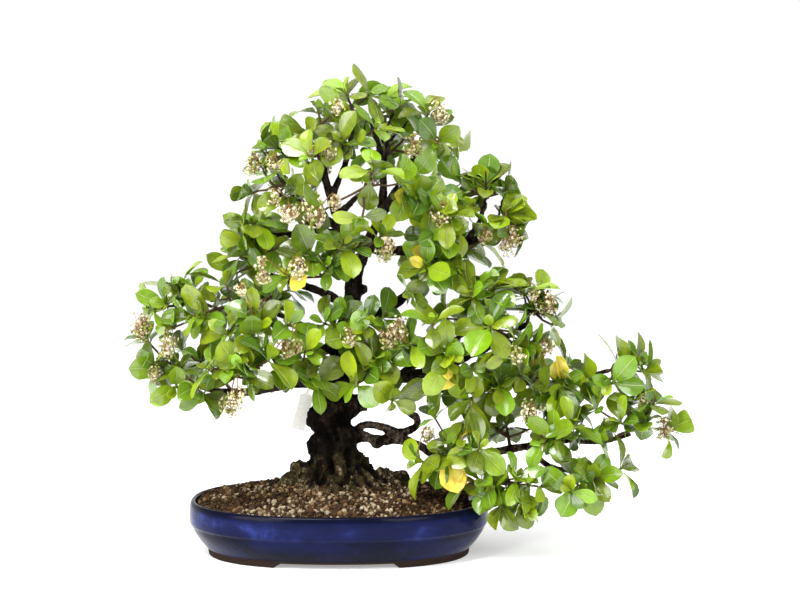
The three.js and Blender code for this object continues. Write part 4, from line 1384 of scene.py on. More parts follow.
@dataclass
class Wood:
    """Trunk, surface roots, burls and limbs, grown together into one skin with cracked bark."""

    plan: Plan
    voxel: float = 0.0020
    root_steps: int = 18
    seed: int = 77
    knuckles: Sequence[tuple[Sequence[float], Sequence[float]]] = (
        ((-45, -3, 100), (17, 13, 13)), ((-59, -9, 91), (11, 12, 10)), ((76, -2, 92), (13, 12, 9)),
        ((52, -6, 95), (13, 10, 10)), ((-30, -34, 86), (9, 10, 12)), ((34, -36, 84), (8, 12, 14)),
    )
    furrows: Sequence[tuple[Sequence[tuple[float, float]], float, float]] = (
        (((-13, 150), (-9, 136), (-12, 122), (-10, 108)), 5.0, 9.0),
        (((4, 176), (-4, 160), (-1, 146)), 4.0, 6.0),
        (((-42, 149), (-34, 150), (-22, 154)), 6.0, 7.0),
        (((32, 172), (24, 168), (18, 164)), 6.0, 6.0),
        (((47, 141), (48, 139)), 2.8, 3.4),
        (((18, 106), (26, 92), (34, 80)), 3.0, 4.5),
        (((12, 128), (14, 112), (10, 96)), 4.5, 7.0),
        (((24, 112), (34, 98), (46, 86)), 3.2, 6.0),
        (((32, 114), (46, 102), (60, 92)), 3.2, 6.0),
        (((-22, 116), (-30, 102), (-34, 90)), 4.0, 6.0),
        (((18, 186), (8, 174), (2, 164)), 4.0, 5.0),
    )

    def build(self) -> None:
        """Builds and dresses the wood."""
        trunk = self.bole()
        trunk.join([self.roots(), self.limbs(), *self.burls()])
        trunk.apply("REMESH", mode="VOXEL", voxel_size=self.voxel, adaptivity=0.0)
        self.carve(trunk)
        trunk.smooth(180)
        bark = OldBark().build()
        trunk.dress(bark)
        trunk.deliver("bark", "trunk")
        twigs = self.bare_twigs()
        twigs.dress(bark)
        twigs.deliver("bark")

    def bole(self) -> Workpiece:
        """Draws the trunk up through its sections and flutes it.

        Returns:
            The bare trunk.
        """
        bole = drawn_up("trunk_and_limbs", self.plan, TRUNK, 48)
        levels = [section[2] for section in TRUNK]
        middle_x = [section[0] for section in TRUNK]
        middle_y = [section[1] for section in TRUNK]
        p = (bole.points() - np.array(self.plan.middle)) / MM
        x = np.interp(p[:, 2], levels, middle_x)
        y = np.interp(p[:, 2], levels, middle_y)
        turn = np.arctan2(p[:, 1] - y, p[:, 0] - x)
        lumps = 1 + 0.07 * np.sin(3 * turn + p[:, 2] / 19) + 0.05 * np.sin(5 * turn - p[:, 2] / 13)
        p[:, 0] = x + (p[:, 0] - x) * lumps
        p[:, 1] = y + (p[:, 1] - y) * lumps
        bole.move(self.plan.place(p))
        return bole

    def roots(self) -> Workpiece:
        """Runs the surface roots from the trunk over the mound into the soil.

        Returns:
            The roots as one piece.
        """
        lines = []
        for number, (heading, reach, thickness) in enumerate(ROOTS):
            out = Vector((math.cos(math.radians(heading)), math.sin(math.radians(heading)), 0))
            start = Vector((MOUND_TOP[0], MOUND_TOP[1], 0))
            stops = ((4, 116), (28, 97), (reach * 0.7, 86), (reach + 6, 69))
            line = smooth_line([start + out * away + UP * level for away, level in stops], self.root_steps)
            swell = []
            for k in range(self.root_steps + 1):
                knots = 1 + 0.1 * math.sin(k * 1.3 + number * 2.1)
                swell.append(lerp(thickness, thickness * 0.4, k / self.root_steps) * knots)
            lines.append((line, swell))
        return rods("roots", self.plan, lines, 4)

    def limbs(self) -> Workpiece:
        """Draws every limb with the swellings and slight crooks of old wood.

        Returns:
            The limbs as one piece.
        """
        lines = []
        rng = random.Random(self.seed)
        for points, (thick, thin) in [*LIMBS.values(), *SAWN_LIMBS]:
            length = sum((Vector(b) - Vector(a)).length for a, b in zip(points, points[1:]))
            steps = max(6, round(length / 5))
            line = smooth_line(points, steps)
            phase = rng.uniform(0, 6.28)
            radii = []
            for k in range(steps + 1):
                knots = 1 + 0.07 * math.sin(k * 1.05 + phase) + 0.05 * math.sin(k * 2.3 + 2 * phase)
                radii.append(lerp(thick, thin, k / steps) * knots)
            lines.append((line, radii))
        return rods("limbs", self.plan, lines, 3)

    def bare_twigs(self) -> Workpiece:
        """Draws the thin crooked twigs that cross the open crown.

        Returns:
            The twigs as one piece.
        """
        lines = []
        rng = random.Random(self.seed + 1)
        for points, thick in BARE_TWIGS:
            steps = 4 * len(points)
            line = smooth_line(points, steps)
            line[1:] += [[rng.uniform(-0.8, 0.8) for _ in range(3)] for _ in range(steps)]
            knots = [1 + 0.14 * math.sin(k * 1.9 + thick * 5) for k in range(steps + 1)]
            lines.append((line, np.linspace(thick, thick * 0.5, steps + 1) * knots))
        twigs = rods("bare_twigs", self.plan, lines, 2)
        tinted(twigs, (0.5, 0, 0))
        twigs.smooth(60)
        return twigs

    def burls(self) -> list[Workpiece]:
        """Models the burls of the trunk and the knuckles of the roots.

        Returns:
            A piece for each.
        """
        made = []
        for centre, half_sizes in [*BURLS, *self.knuckles]:
            deselect()
            bpy.ops.mesh.primitive_ico_sphere_add(subdivisions=3, radius=1.0)
            burl = Workpiece("burl")
            burl.move(self.plan.place(burl.points() * half_sizes + centre))
            made.append(burl)
        return made

    def carve(self, trunk: Workpiece) -> None:
        """Raises and cracks the bark, and notes at each point how raised and how furrowed it is.

        Args:
            trunk: the grown-together skin.
        """
        mesh = trunk.object.data
        normals = np.empty(3 * len(mesh.vertices))
        mesh.vertices.foreach_get("normal", normals)
        points = (trunk.points() - np.array(self.plan.middle)) / MM
        stout = self.stoutness(points)
        furrowed = self.furrowed(points, stout)
        depth = np.empty(len(points))
        for k, (row, share) in enumerate(zip(points, stout)):
            p = Vector(row)
            upright = Vector((p.x, p.y, p.z * (0.35 if p.z < 120 else 0.75)))
            lumps = noise.noise(p * 0.045) * 3.8 + noise.noise(p * 0.09) * 2.8
            cracks = 1 - 2.6 * abs(noise.noise(upright * 0.14)) - 1.2 * abs(noise.noise(upright * 0.31))
            fine = noise.noise(p * 0.42)
            fan = Vector((math.atan2(p.x - 5, 165 - p.z) * 9, p.y * 0.05, p.z * 0.015))
            ridges = (1 - 3 * abs(noise.noise(fan))) * min(1.0, max(0.0, (128 - p.z) / 16))
            old = lumps + 1.9 * cracks + 0.9 * fine + 1.8 * ridges
            young = 0.55 * noise.noise(p * 0.12) + 0.5 * noise.noise(p * 0.3) + 0.3 * fine
            depth[k] = lerp(young, old, share)
        trunk.move(trunk.points() + normals.reshape(-1, 3) * (depth - furrowed)[:, None] * MM)
        # how raised and how furrowed each point is, kept for the bark's painted shade in hollows and furrows
        # and its painted highlight on raised parts
        raised = np.clip(0.5 + depth / 6, 0, 1)
        shade = np.column_stack([raised, furrowed / 5, stout, np.ones(len(points))])
        mesh.color_attributes.new("tint", "FLOAT_COLOR", "POINT").data.foreach_set("color", shade.ravel())

    def furrowed(self, points: np.ndarray, stout: np.ndarray) -> np.ndarray:
        """Works out how deep the furrows run at each point, in millimetres.

        Args:
            points: rows of points, in millimetres from the pot's middle.
            stout: which of them lie on the trunk, where a furrow runs right round (1), and not on a limb (0).

        Returns:
            The depths.
        """
        deepest = np.zeros(len(points))
        reach = np.maximum(np.clip((6 - points[:, 1]) / 8, 0, 1), stout)
        for path, width, depth in self.furrows:
            line = smooth_line([(x, 0, z) for x, z in path], 10)
            away = np.min([np.hypot(points[:, 0] - x, points[:, 2] - z) for x, _, z in line], axis=0)
            deepest = np.maximum(deepest, depth * np.exp(-((away / width) ** 2)) * reach)
        return deepest

    def stoutness(self, points: np.ndarray) -> np.ndarray:
        """Tells the trunk and root flare from the limbs.

        Args:
            points: rows of points, in millimetres from the pot's middle.

        Returns:
            1 on the trunk and flare, 0 on the limbs, for each point.
        """
        levels = [section[2] for section in TRUNK]
        x, y, half_x, half_y = (np.interp(points[:, 2], levels, [s[k] for s in TRUNK]) for k in (0, 1, 3, 4))
        away = np.hypot((points[:, 0] - x) / (half_x + 4), (points[:, 1] - y) / (half_y + 4))
        near = np.clip((1.5 - away) / 0.4, 0, 1)
        low = np.clip((125 - points[:, 2]) / 15, 0, 1) * (np.abs(points[:, 0] - MOUND_TOP[0]) < 110)
        tall = np.clip((345 - points[:, 2]) / 60, 0.15, 1)
        return np.maximum(near * tall, low)


# Leaves and shoots


@dataclass(frozen=True)
class Tip:
    """A growing tip: its place, its twig's heading and root, and the axis and levels of its leaves."""

    at: Vector
    heading: Vector
    axis: Vector
    levels: Sequence[float]
    seed: int
    root: Vector


@dataclass(frozen=True)
class Pose:
    """How one leaf lies: base, direction, upper side, length and droop; then its cup, wave and breadth."""

    base: Vector
    heading: Vector
    upper: Vector
    length: float
    droop: float
    cup: float = 0.0
    wave: float = 0.0
    breadth: float = 1.0

    def end(self) -> Vector:
        """Finds the leaf's tip.

        Returns:
            The point, in millimetres from the pot's middle.
        """
        run = self.length * math.sin(self.droop) / self.droop
        fall = self.length * (1 - math.cos(self.droop)) / self.droop
        return self.base + self.heading * run - self.upper * fall


def grow_tip(tip: Vector, fork: Vector, seed: int, many: bool) -> Tip:
    """Grows a tip from the place where its twig leaves the shoot.

    Args:
        tip: the tip's place.
        fork: where its twig leaves the shoot.
        seed: the number its draws follow from.
        many: whether it has two whorls of leaves.

    Returns:
        The tip.
    """
    heading = (tip - fork).normalized()
    axis = (heading + UP * 0.35).normalized()
    return Tip(tip, heading, axis, WHORL_LEVELS if many else WHORL_LEVELS[1:], seed, fork)


def leaf_pose(tip: Tip, leaf: int, turn_by: float, spread_by: float, scale: float) -> Pose:
    """Lays one leaf of a growing tip, as the solid model does.

    Args:
        tip: the growing tip.
        leaf: the leaf's place among the tip's leaves.
        turn_by: turn round the tip added to its own.
        spread_by: spread away from the tip added to its own.
        scale: size against a whole leaf.

    Returns:
        The leaf's pose.
    """
    draw = Draws(tip.seed + 17 * (leaf + 1))
    whorl, face = LEAF_SLOTS[leaf]
    whorl_level = tip.levels[min(whorl, len(tip.levels) - 1)]
    first = sideways(tip.heading)
    second = tip.heading.cross(first)
    turn = 2 * math.pi * Draws(tip.seed)() + math.pi / 3 * (1 + whorl + 2 * face)
    normal = first * math.cos(turn) + second * math.sin(turn)
    swung = turn + 0.3 * (draw() - 0.5) + turn_by
    out = first * math.cos(swung) + second * math.sin(swung)
    spread = (1.15 if whorl == 0 else 0.75) + 0.4 * (draw() - 0.5) + spread_by
    length = LEAF_LENGTH * (0.84 + 0.32 * draw()) * scale
    droop = 0.3 + 0.6 * draw()
    roll = 0.4 * (draw() - 0.5)
    heading = (tip.axis * math.cos(spread) + out * math.sin(spread)).normalized()
    upper = tip.axis * math.sin(spread) - out * math.cos(spread) + UP * 0.3
    upper = (upper - heading * upper.dot(heading)).normalized()
    upper = Quaternion(heading, roll) @ upper
    base = tip.at - tip.heading * whorl_level + normal * (TWIG_RADIUS / 2)
    return Pose(base, heading, upper, length, droop)


@dataclass
class LeafBlade:
    """The leaf that every other is bent and copied from: a blunt spoon-shaped blade on a short stalk."""

    rows: Sequence[tuple[float, float]] = (
        (0.0, 0.09), (0.12, 0.13), (0.24, 0.45), (0.38, 0.78), (0.54, 0.97), (0.7, 0.99), (0.84, 0.82),
        (0.94, 0.53), (1.0, 0.17),
    )
    thickness: float = 0.6
    shape: Shape | None = None

    def model(self) -> None:
        """Models the blade flat: across from -1 to 1, along from 0 to 1, and its two sides at -1 and 1."""
        deselect()
        bpy.ops.mesh.primitive_grid_add(x_subdivisions=4, y_subdivisions=len(self.rows) - 1, size=2)
        blade = Workpiece("leaf_blade")
        blade.apply("SOLIDIFY", thickness=2.0, offset=0.0)
        shape = Shape.taken_from(blade)
        row = np.rint((shape.points[:, 1] + 1) / 2 * (len(self.rows) - 1)).astype(int)
        along = np.array([r[0] for r in self.rows])[row]
        width = np.array([r[1] for r in self.rows])[row]
        across = shape.points[:, 0]
        along = along - 0.03 * across**2 * (along > 0.8)
        self.shape = Shape(
            np.stack([across * width, along, np.sign(shape.points[:, 2])], 1),
            shape.corners,
            shape.starts,
            np.stack([(across[shape.corners] + 1) / 2, along[shape.corners]], 1).ravel(),
        )

    def laid(self, pose: Pose) -> np.ndarray:
        """Bends a copy of the blade into a pose.

        Args:
            pose: how the leaf lies.

        Returns:
            Rows of points, in millimetres from the pot's middle.
        """
        share, along, side = self.shape.points.T
        half = pose.length * LEAF_WIDTH_SHARE / 2 * pose.breadth
        out = share * half
        rib = 0.3 * half
        lift = (np.sqrt(out**2 + rib**2) - rib) * LEAF_FOLD + side * self.thickness / 2
        lift = lift + pose.cup * out**2 / half + pose.wave * np.abs(share) * np.sin(along * 11 + share * 2)
        bent = pose.droop * along
        run = pose.length * np.sin(bent) / pose.droop + np.sin(bent) * lift
        rise = np.cos(bent) * lift - pose.length * (1 - np.cos(bent)) / pose.droop
        across = pose.heading.cross(pose.upper)
        return (
            np.array(pose.base)
            + np.outer(run, pose.heading)
            + np.outer(rise, pose.upper)
            + np.outer(out, across)
        )


@dataclass(frozen=True)
class LargeLeaf:
    """One of the largest leaves: its shoot and tip, the way it points, its length and its age."""

    shoot: str
    tip: int
    way: Sequence[float]
    length: float
    age: float

    def pose(self, tip: Tip) -> Pose:
        """Lays the leaf below its tip, with its upper side to the front.

        Args:
            tip: the growing tip that it hangs from.

        Returns:
            Its pose.
        """
        along = Vector(self.way).normalized()
        facing = Vector((-0.2, -1.0, 0.3))
        upper = (facing - along * facing.dot(along)).normalized()
        return Pose(tip.at, along, upper, self.length, 0.35, 0.1, 0.4, 1.0)


@dataclass
class Foliage:
    """Every leafy shoot: its twigs, the leaves of the solid model, and the smaller leaves between them."""

    plan: Plan
    blade: LeafBlade
    extra_tips: int = 4
    crown_tips: int = 1
    crown_level: float = 455.0
    old_places: Sequence[tuple[float, float]] = (
        (100, 370), (-48, 352), (134, 237), (152, 104), (280, 236), (71, 450),
    )
    old_reach: float = 9.0
    old_chance: float = 0.008
    large: Sequence[LargeLeaf] = (
        LargeLeaf("low_front", 0, (12, -22, -48), 54.0, 0.8),
        LargeLeaf("low_drop", 0, (6, -12, -40), 45.0, 0.1),
        LargeLeaf("low_front", 1, (-40, -20, -14), 46.0, 0.1),
        LargeLeaf("low_front", 1, (30, -22, -28), 44.0, 0.1),
    )
    stem_radii: Sequence[float] = (2.5, 2.3, 2.2, 2.1)
    twig_radii: Sequence[float] = (1.9, 1.6, 1.4, 1.4, 0.4)
    seed: int = 9090
    tips: dict[str, list[Tip]] = field(default_factory=dict)

    def build(self) -> None:
        """Builds and dresses each shoot."""
        finishes = (LeafSkin().build(), TwigBark().build())
        for number, (name, points) in enumerate(SHOOTS.items()):
            self.shoot(name, number, [Vector(p) for p in points], *finishes)

    def shoot(
        self,
        name: str,
        number: int,
        points: list[Vector],
        skin: bpy.types.Material,
        bark: bpy.types.Material,
    ) -> None:
        """Builds one shoot.

        Args:
            name: the shoot's name.
            number: its place in the list of shoots.
            points: where it leaves its limb, then its tips.
            skin: the leaves' finish.
            bark: the twigs' finish.
        """
        rng = random.Random(self.seed + number)
        start, ends = points[0], points[1:]
        heading = (sum(ends, Vector()) / len(ends) - start).normalized()
        bend = start + heading * (SHOOT_BEND * (start - ends[0]).length)
        s = FORK_SHARE
        fork = start * (1 - s) ** 2 + bend * 2 * s * (1 - s) + ends[0] * s**2
        tips = []
        for k, end in enumerate(ends):
            tips.append(grow_tip(end, fork, 1000 * (number + 1) + 100 * k, LEAVES_PER_TIP[k] > 3))
        self.tips[name] = tips
        node = f"leafy_shoot_{name}"
        leaves = []
        solid_points = self.solid_points(node)
        for k, tip in enumerate(tips):
            kept = [self.kept_leaf(tip, leaf, solid_points) for leaf in range(LEAVES_PER_TIP[k])]
            kept += [None] * ((4 if self.is_crown(fork) else 5) - len(kept))
            for leaf, pose in enumerate(kept):
                leaves.append(self.grown(pose or self.small_leaf(tip, leaf, rng), rng))
        between = self.between_tips(tips, fork, rng)
        for tip in between:
            for leaf in range(rng.choice((3, 4, 5, 6))):
                leaves.append(self.grown(self.small_leaf(tip, leaf, rng, 0.84), rng))
        for tip in [*tips, *between]:
            for leaf in (4, 5):
                leaves.append(self.grown(self.bud_leaf(tip, leaf, rng), rng, True))
        for leaf in self.large:
            if leaf.shoot == name:
                leaves.append((leaf.pose(tips[leaf.tip]), (0.55, leaf.age, rng.random())))
        blades = [self.plan.place(self.blade.laid(pose)) for pose, _ in leaves]
        piece = self.blade.shape.copied(f"shoot_{name}", blades, [tint for _, tint in leaves])
        piece.smooth(60)
        piece.dress(skin)
        twigs = self.twigs(start, bend, tips, between, rng)
        twigs.dress(bark)
        piece.join([twigs])
        piece.deliver("foliage", node)

    def solid_points(self, node: str) -> KDTree:
        """Sorts the solid shoot's points for looking up.

        Args:
            node: the solid shoot's name.

        Returns:
            The sorted points.
        """
        mesh = bpy.data.objects[node].data
        tree = KDTree(len(mesh.vertices))
        for k, vertex in enumerate(mesh.vertices):
            tree.insert(vertex.co, k)
        tree.balance()
        return tree

    def kept_leaf(self, tip: Tip, leaf: int, solid_points: KDTree) -> Pose | None:
        """Finds how a leaf of the solid model lies.

        Args:
            tip: its growing tip.
            leaf: its place among the tip's leaves.
            solid_points: the solid shoot's points.

        Returns:
            Its pose, or None where the solid model has no such leaf.
        """
        for turn_by, spread_by, scale in LEAF_TRIES:
            pose = leaf_pose(tip, leaf, turn_by, spread_by, scale)
            if solid_points.find(self.plan.spot(pose.end()))[2] < FOUND_WITHIN * MM:
                return pose
        return None

    def small_leaf(self, tip: Tip, leaf: int, rng: random.Random, scale: float = 0.78) -> Pose:
        """Lays a leaf that the solid model leaves out.

        Args:
            tip: its growing tip.
            leaf: its place among the tip's leaves.
            rng: the draws.
            scale: its middling size against a whole leaf.

        Returns:
            Its pose.
        """
        size = scale * rng.uniform(0.7, 1.15)
        return leaf_pose(tip, leaf, rng.uniform(-0.5, 0.5), rng.uniform(-0.45, 0.35), size)

    def bud_leaf(self, tip: Tip, leaf: int, rng: random.Random) -> Pose:
        """Stands a half-grown leaf up in the middle of a tip."""
        turn_by, spread_by = rng.uniform(-0.9, 0.9), rng.uniform(-0.65, -0.25)
        return leaf_pose(tip, leaf, turn_by, spread_by, rng.uniform(0.28, 0.55))

    def grown(
        self, pose: Pose, rng: random.Random, young: bool = False
    ) -> tuple[Pose, tuple[float, float, float]]:
        """Gives a leaf its own cup, wave and breadth, and its tint.

        Args:
            pose: how the leaf lies.
            rng: the draws.
            young: whether it is half grown.

        Returns:
            Its pose and its tint.
        """
        cup, wave, breadth = rng.uniform(-0.3, 0.42), rng.uniform(0.0, 1.0), rng.uniform(0.76, 1.12)
        styled = replace(pose, cup=cup, wave=wave, breadth=breadth)
        return styled, self.tint(styled, rng, young)

    def tint(self, pose: Pose, rng: random.Random, young: bool) -> tuple[float, float, float]:
        """Draws a leaf's tone, its age and a number of its own.

        Args:
            pose: how the leaf lies.
            rng: the draws.
            young: whether it is half grown.

        Returns:
            The three numbers.
        """
        tone = min(1.0, max(0.0, rng.gauss(0.68 if young else 0.46, 0.28)))
        middle = pose.base.lerp(pose.end(), 0.6)
        seen = [math.hypot(middle.x - x, middle.z - z) for x, z in self.old_places]
        old = min(seen) < self.old_reach and middle.y < -30 and not young
        if old or rng.random() < self.old_chance:
            return tone, rng.uniform(0.65, 1.0), rng.random()
        return tone, 0.12 * rng.random(), rng.random()

    def between_tips(self, tips: list[Tip], fork: Vector, rng: random.Random) -> list[Tip]:
        """Places the further growing tips of a shoot between those of the solid model.

        Args:
            tips: the solid model's tips.
            fork: the shoot's fork.
            rng: the draws.

        Returns:
            The further tips.
        """
        made = []
        for k in range(self.crown_tips if self.is_crown(fork) else self.extra_tips):
            a, b = rng.sample(tips, 2)
            at = a.at.lerp(b.at, rng.uniform(0.25, 0.6)).lerp(fork, rng.uniform(0.1, 0.45))
            at += Vector([rng.uniform(-8, 8) for _ in range(3)])
            root = fork.lerp(a.at, rng.uniform(0.2, 0.6))
            made.append(grow_tip(at, root, tips[0].seed + 600 + 100 * k, True))
        return made

    def is_crown(self, fork: Vector) -> bool:
        """Tells whether a shoot is one of the open ones at the top of the tree."""
        return fork.z > self.crown_level

    def twigs(
        self, start: Vector, bend: Vector, tips: list[Tip], between: list[Tip], rng: random.Random
    ) -> Workpiece:
        """Draws the twigs of a shoot.

        Args:
            start: where it leaves its limb.
            bend: the bend below its fork.
            tips: the solid model's tips.
            between: the further tips.
            rng: the draws.

        Returns:
            The twigs as one piece.
        """
        stem = [start.lerp(bend, t).lerp(bend.lerp(tips[0].at, t), t) for t in (0.0, 0.2, 0.4, FORK_SHARE)]
        lines = [(np.array(stem), self.stem_radii)]
        for tip in [*tips, *between]:
            crooks = [Vector([rng.uniform(-2, 2) for _ in range(3)]) for _ in range(2)]
            stops = [tip.root.lerp(tip.at, t) + crook for t, crook in zip((0.35, 0.7), crooks)]
            bud = tip.at + tip.heading * 2.5
            lines.append((np.array([tip.root, *stops, tip.at, bud]), self.twig_radii))
        piece = rods("twigs", self.plan, lines, 1)
        tinted(piece, (rng.uniform(0, 0.6), 0, 0))
        return piece


# Dry flower heads


@dataclass(frozen=True)
class DryFloret:
    """Withered petals, from cream to brown, with a few green fruits among them, on brown stalks."""

    brown: int = 0x705420
    cream: int = 0xFFF4CC
    stain: int = 0xCC9C44
    fruit: int = 0x8FA02C

    def build(self) -> bpy.types.Material:
        """Mixes the finish of the dry florets and their stalks.

        Returns:
            The material.
        """
        paint = Paint("dry_floret")
        tone, green, _ = paint.split(paint.attribute("tint"))
        fleck = paint.noise(600, 3)
        colour = paint.mix(tone, srgb(self.brown), srgb(self.cream))
        colour = paint.mix(fleck.ramp(0.45, 0.7) * 0.25, colour, srgb(self.stain))
        colour = paint.mix(green, colour, srgb(self.fruit))
        paint.surface(colour, 0.75, fleck, 0.0005)
        return paint.material


@dataclass
class FlowerHeads:
    """The dry flower heads that hang among the leaves: those of the solid model and the further ones."""

    plan: Plan
    foliage: Foliage
    drop: float = 27.0
    florets: int = 72
    bunches: int = 8
    sizes: Sequence[float] = (1.15, 0.95, 1.3, 0.8)
    seed: int = 311
    extra: Sequence[tuple[float, float, float]] = (
        (-102, -60, 490), (-75, -75, 493), (-27, -112, 432), (-1, -112, 446), (-47, -92, 364),
        (-60, -104, 270), (-126, -104, 200), (-114, -96, 340), (-88, -94, 362), (61, -92, 395),
        (128, -62, 428), (181, -50, 402), (208, -42, 394), (218, -34, 400), (257, -45, 320),
        (240, -52, 332), (75, -86, 288), (62, -86, 280), (-241, -40, 288), (-224, -46, 232),
        (-207, -62, 270), (109, -62, 158), (124, -32, 553), (0, -62, 560), (92, -62, 510),
        (-10, -82, 506), (-56, -104, 434), (-74, -100, 450), (217, -84, 262), (257, -62, 266),
        (240, -52, 183), (377, -32, 199), (404, -32, 160), (15, -84, 281), (-96, 70, 300),
        (150, 116, 262), (40, 106, 470), (-20, 96, 480),
    )

    def build(self) -> None:
        """Builds and dresses every head."""
        finish = DryFloret().build()
        floret = self.floret()
        for number, (shoot, place) in enumerate(FLOWER_HEADS):
            tip = self.foliage.tips[shoot][place]
            centre = tip.at + tip.heading * 0.3 + tip.axis * 9 - UP * self.drop
            head = self.head(f"flower_head_{shoot}", tip, centre, floret, number, 1.0)
            head.dress(finish)
            head.deliver("dry_flower", f"dry_flower_head_{shoot}")
        tips = [tip for grown in self.foliage.tips.values() for tip in grown]
        for number, centre in enumerate(map(Vector, self.extra)):
            tip = min(tips, key=lambda one: (one.at + UP * 6 - centre).length)
            size = self.sizes[number % len(self.sizes)]
            head = self.head(f"flower_head_{number + 1}", tip, centre, floret, number + 50, size)
            head.dress(finish)
            head.deliver("dry_flower")

    def floret(self) -> Shape:
        """Models one withered floret: a small cup whose rim is drawn out into five petals.

        Returns:
            Its shape, about 1 in radius.
        """
        deselect()
        bpy.ops.mesh.primitive_cone_add(
            vertices=10, radius1=0.4, radius2=1.0, depth=1.0, end_fill_type="TRIFAN"
        )
        cup = Workpiece("floret")
        p = cup.points()
        rim = (p[:, 2] > 0) & (np.hypot(p[:, 0], p[:, 1]) > 0.5)
        turn = np.arctan2(p[:, 0], p[:, 1])
        petal = np.where(np.cos(turn * 5) > 0, 1.35, 0.5)
        p[:, :2] *= np.where(rim, petal, 1.0)[:, None]
        p[:, 2] += np.where(rim & (petal < 1), -0.25, 0.0)
        middle = (p[:, 2] > 0) & ~rim
        p[middle, 2] = -0.15
        cup.move(p)
        return Shape.taken_from(cup)

    def head(
        self, name: str, tip: Tip, centre: Vector, floret: Shape, number: int, scale: float
    ) -> Workpiece:
        """Builds one head.

        Args:
            name: its name.
            tip: the growing tip that it hangs from.
            centre: its middle.
            floret: the floret's shape.
            number: the number that its draws follow from.
            scale: its size against those of the solid model.

        Returns:
            The head, florets and stalks in one piece.
        """
        rng = random.Random(self.seed + number)
        start = tip.at + tip.heading * 0.3
        bend = start + tip.axis * 7
        florets, tints, lines = [], [], []
        stalk = smooth_line([start, bend, centre + UP * 13 * scale, centre + UP * 2], 8)
        lines.append((stalk, np.linspace(1.0, 0.6, 9)))
        cream = rng.choice((-0.3, -0.05, 0.08, 0.15))
        greenness = rng.choice((0.1, 0.15, 0.25, 0.5))
        tall = rng.uniform(1.0, 1.5)
        bunches = []
        for _ in range(self.bunches):
            way = Vector([rng.gauss(0, 1), rng.gauss(0, 1), rng.gauss(-0.4, 1)]).normalized()
            middle = centre + Vector((way.x, way.y, way.z * tall)) * rng.uniform(3.5, 7.5) * scale
            root = Vector(stalk[rng.choice((6, 7, 7, 8))])
            branch = smooth_line([root, root.lerp(middle, 0.5) + UP * 1.5, middle], 3)
            lines.append((branch, (0.5, 0.44, 0.4, 0.36)))
            bunches.append((way, middle))
        for _ in range(round(self.florets * scale)):
            toward, middle = rng.choice(bunches)
            way = Vector([rng.gauss(0, 1), rng.gauss(0, 1), rng.gauss(-0.25, 1)]).normalized()
            way = (way + toward * 1.3).normalized()
            at = centre + Vector((way.x, way.y, way.z * tall)) * rng.uniform(4.0, 12.5) * scale
            lines.append((smooth_line([middle, middle.lerp(at, 0.5) + UP * 0.6, at], 2), (0.3, 0.26, 0.24)))
            turned = np.array(way.to_track_quat("Z", "Y").to_matrix())
            size = rng.uniform(1.3, 2.4)
            florets.append(self.plan.place((floret.points * size) @ turned.T + np.array(at)))
            tone = rng.choice((0.95, 0.9, 0.8, 0.7, 0.45, 0.15)) + cream + rng.uniform(-0.1, 0.1)
            tints.append((min(1.0, max(0.0, tone)), 0.85 if rng.random() < greenness else 0.0, 0.0))
        piece = floret.copied(name, florets, tints)
        stalks = rods("stalks", self.plan, lines, 0)
        tinted(stalks, (0, 0, 0))
        piece.join([stalks])
        return piece


# What stays as the solid model has it, and the studio


def dress_node(node: str, finish: PlainFinish | Grit) -> None:
    """Gives a node of the solid model its finish.

    Args:
        node: the node's name.
        finish: the finish.
    """
    shown = bpy.data.objects[node]
    material = finish.build()
    if not shown.material_slots:
        shown.data.materials.append(material)
    for place in shown.material_slots:
        place.material = material


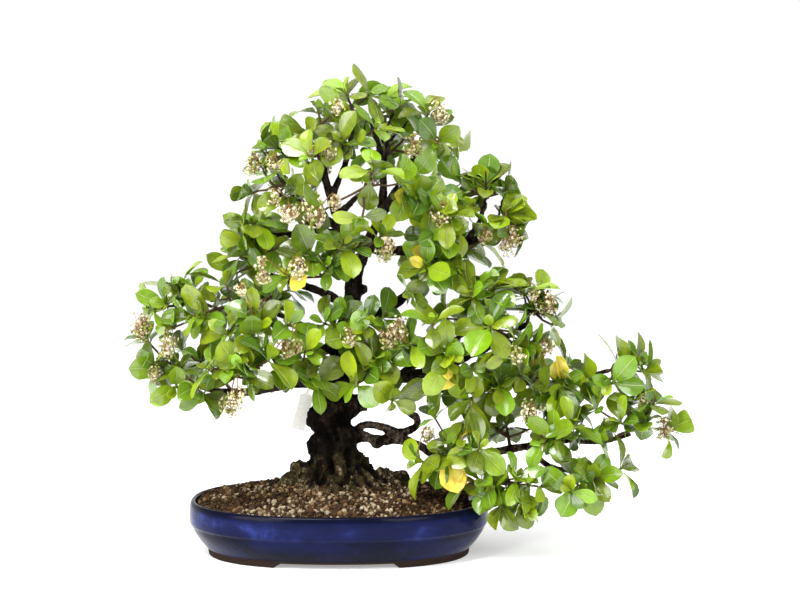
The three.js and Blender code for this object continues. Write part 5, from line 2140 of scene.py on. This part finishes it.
@dataclass
class Studio:
    """Camera, pale floor and soft light."""

    plan: Plan
    eye: tuple[float, float, float] = (77.0, -2600.0, 550.0)
    looks_at: tuple[float, float, float] = (77.0, 0.0, 310.5)
    lens: float = 94.0
    floor_tones: Sequence[tuple[float, float, float]] = ((0.86, 0.86, 0.86), (0.9, 0.9, 0.9))
    floor_glow: float = 0.34
    lamps_face: tuple[float, float, float] = (60.0, 0.0, 250.0)
    lamps: Sequence[tuple[str, tuple[float, float, float], float, float]] = (
        ("key", (-800, -1400, 2800), 1.2, 100),
        ("side", (-2000, -1900, 1500), 2.0, 94),
        ("front", (1700, -2300, 1600), 1.6, 52),
        ("top", (200, 400, 3200), 3.0, 44),
    )

    def build(self) -> None:
        """Sets up the camera, the floor, the lights and the world."""
        away = self.plan.spot(self.looks_at) - self.plan.spot(self.eye)
        turned = away.to_track_quat("-Z", "Y").to_euler()
        bpy.ops.object.camera_add(location=self.plan.spot(self.eye), rotation=turned)
        camera = bpy.context.object
        camera.data.lens = self.lens
        camera.data.sensor_width = 36.0
        camera.data.sensor_fit = "HORIZONTAL"
        bpy.context.scene.camera = camera
        deselect()
        bpy.ops.mesh.primitive_circle_add(vertices=96, radius=2.6, fill_type="NGON")
        floor = Workpiece("studio_floor")
        paint = Paint("floor_paper")
        paint.surface(paint.mix(paint.noise(3, 2), *self.floor_tones), 0.9)
        paint.fixed(Emission_Color=(1.0, 1.0, 1.0, 1.0), Emission_Strength=self.floor_glow)
        floor.dress(paint.material)
        floor.object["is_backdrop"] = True
        for lamp in self.lamps:
            self.light(*lamp)
        self.backdrop()
        bpy.context.scene.view_settings.view_transform = "Standard"

    def backdrop(self) -> None:
        """Surrounds the floor with white that is dimmer overhead and behind the camera, as in a studio."""
        world = bpy.data.worlds.new("studio")
        world.use_nodes = True
        tree = world.node_tree
        ground = tree.nodes["Background"]
        way = tree.nodes.new("ShaderNodeSeparateXYZ")
        tree.links.new(tree.nodes.new("ShaderNodeTexCoord").outputs["Generated"], way.inputs[0])
        overhead = Value(tree, way.outputs[2]).ramp(0.18, 0.5)
        behind = Value(tree, way.outputs[1]).ramp(0.4, -0.3) * Value(tree, way.outputs[2]).ramp(0.08, 0.26)
        strength = 1.06 - overhead * 0.66 - behind * (1 - overhead) * 0.84
        tree.links.new(strength.socket, ground.inputs["Strength"])
        ground.inputs["Color"].default_value = (1.0, 1.0, 1.0, 1.0)
        bpy.context.scene.world = world

    def light(self, name: str, place: tuple[float, float, float], size: float, power: float) -> None:
        """Hangs one soft light that faces the tree.

        Args:
            name: its name.
            place: where it hangs, in millimetres from the pot's middle.
            size: its side, in metres.
            power: its power, in watts.
        """
        at = self.plan.spot(place)
        away = self.plan.spot(self.lamps_face) - at
        bpy.ops.object.light_add(type="AREA", location=at, rotation=away.to_track_quat("-Z", "Y").to_euler())
        lamp = bpy.context.object
        lamp.name = f"light_{name}"
        lamp.data.size = size
        lamp.data.energy = power


def corners() -> list[list[float]]:
    """Returns the lowest and highest corners of everything shown, as plain lists."""
    return [list(corner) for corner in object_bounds()]


def main() -> None:
    """Builds the bonsai round the solid model."""
    logging.basicConfig(level=logging.INFO, format="%(message)s")
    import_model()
    plan = Plan.from_frame()
    Studio(plan).build()
    Pot(plan).build()
    GritCover(plan).build()
    dress_node("soil", Grit("soil_bed", 0x2C1F16, 0x4A3526))
    Wood(plan).build()
    blade = LeafBlade()
    blade.model()
    foliage = Foliage(plan, blade)
    foliage.build()
    FlowerHeads(plan, foliage).build()
    dress_node("plant_label", PlainFinish("label_card", 0xFBF9F0, 0xF4EFE0, 0.55, through=0.45))
    for side in ("left", "right"):
        dress_node(f"drain_screen_{side}", PlainFinish(f"screen_plastic_{side}", 0x1C1E1D, 0x2C2F2D, 0.6))
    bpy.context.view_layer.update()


if __name__ == "__main__":
    main()
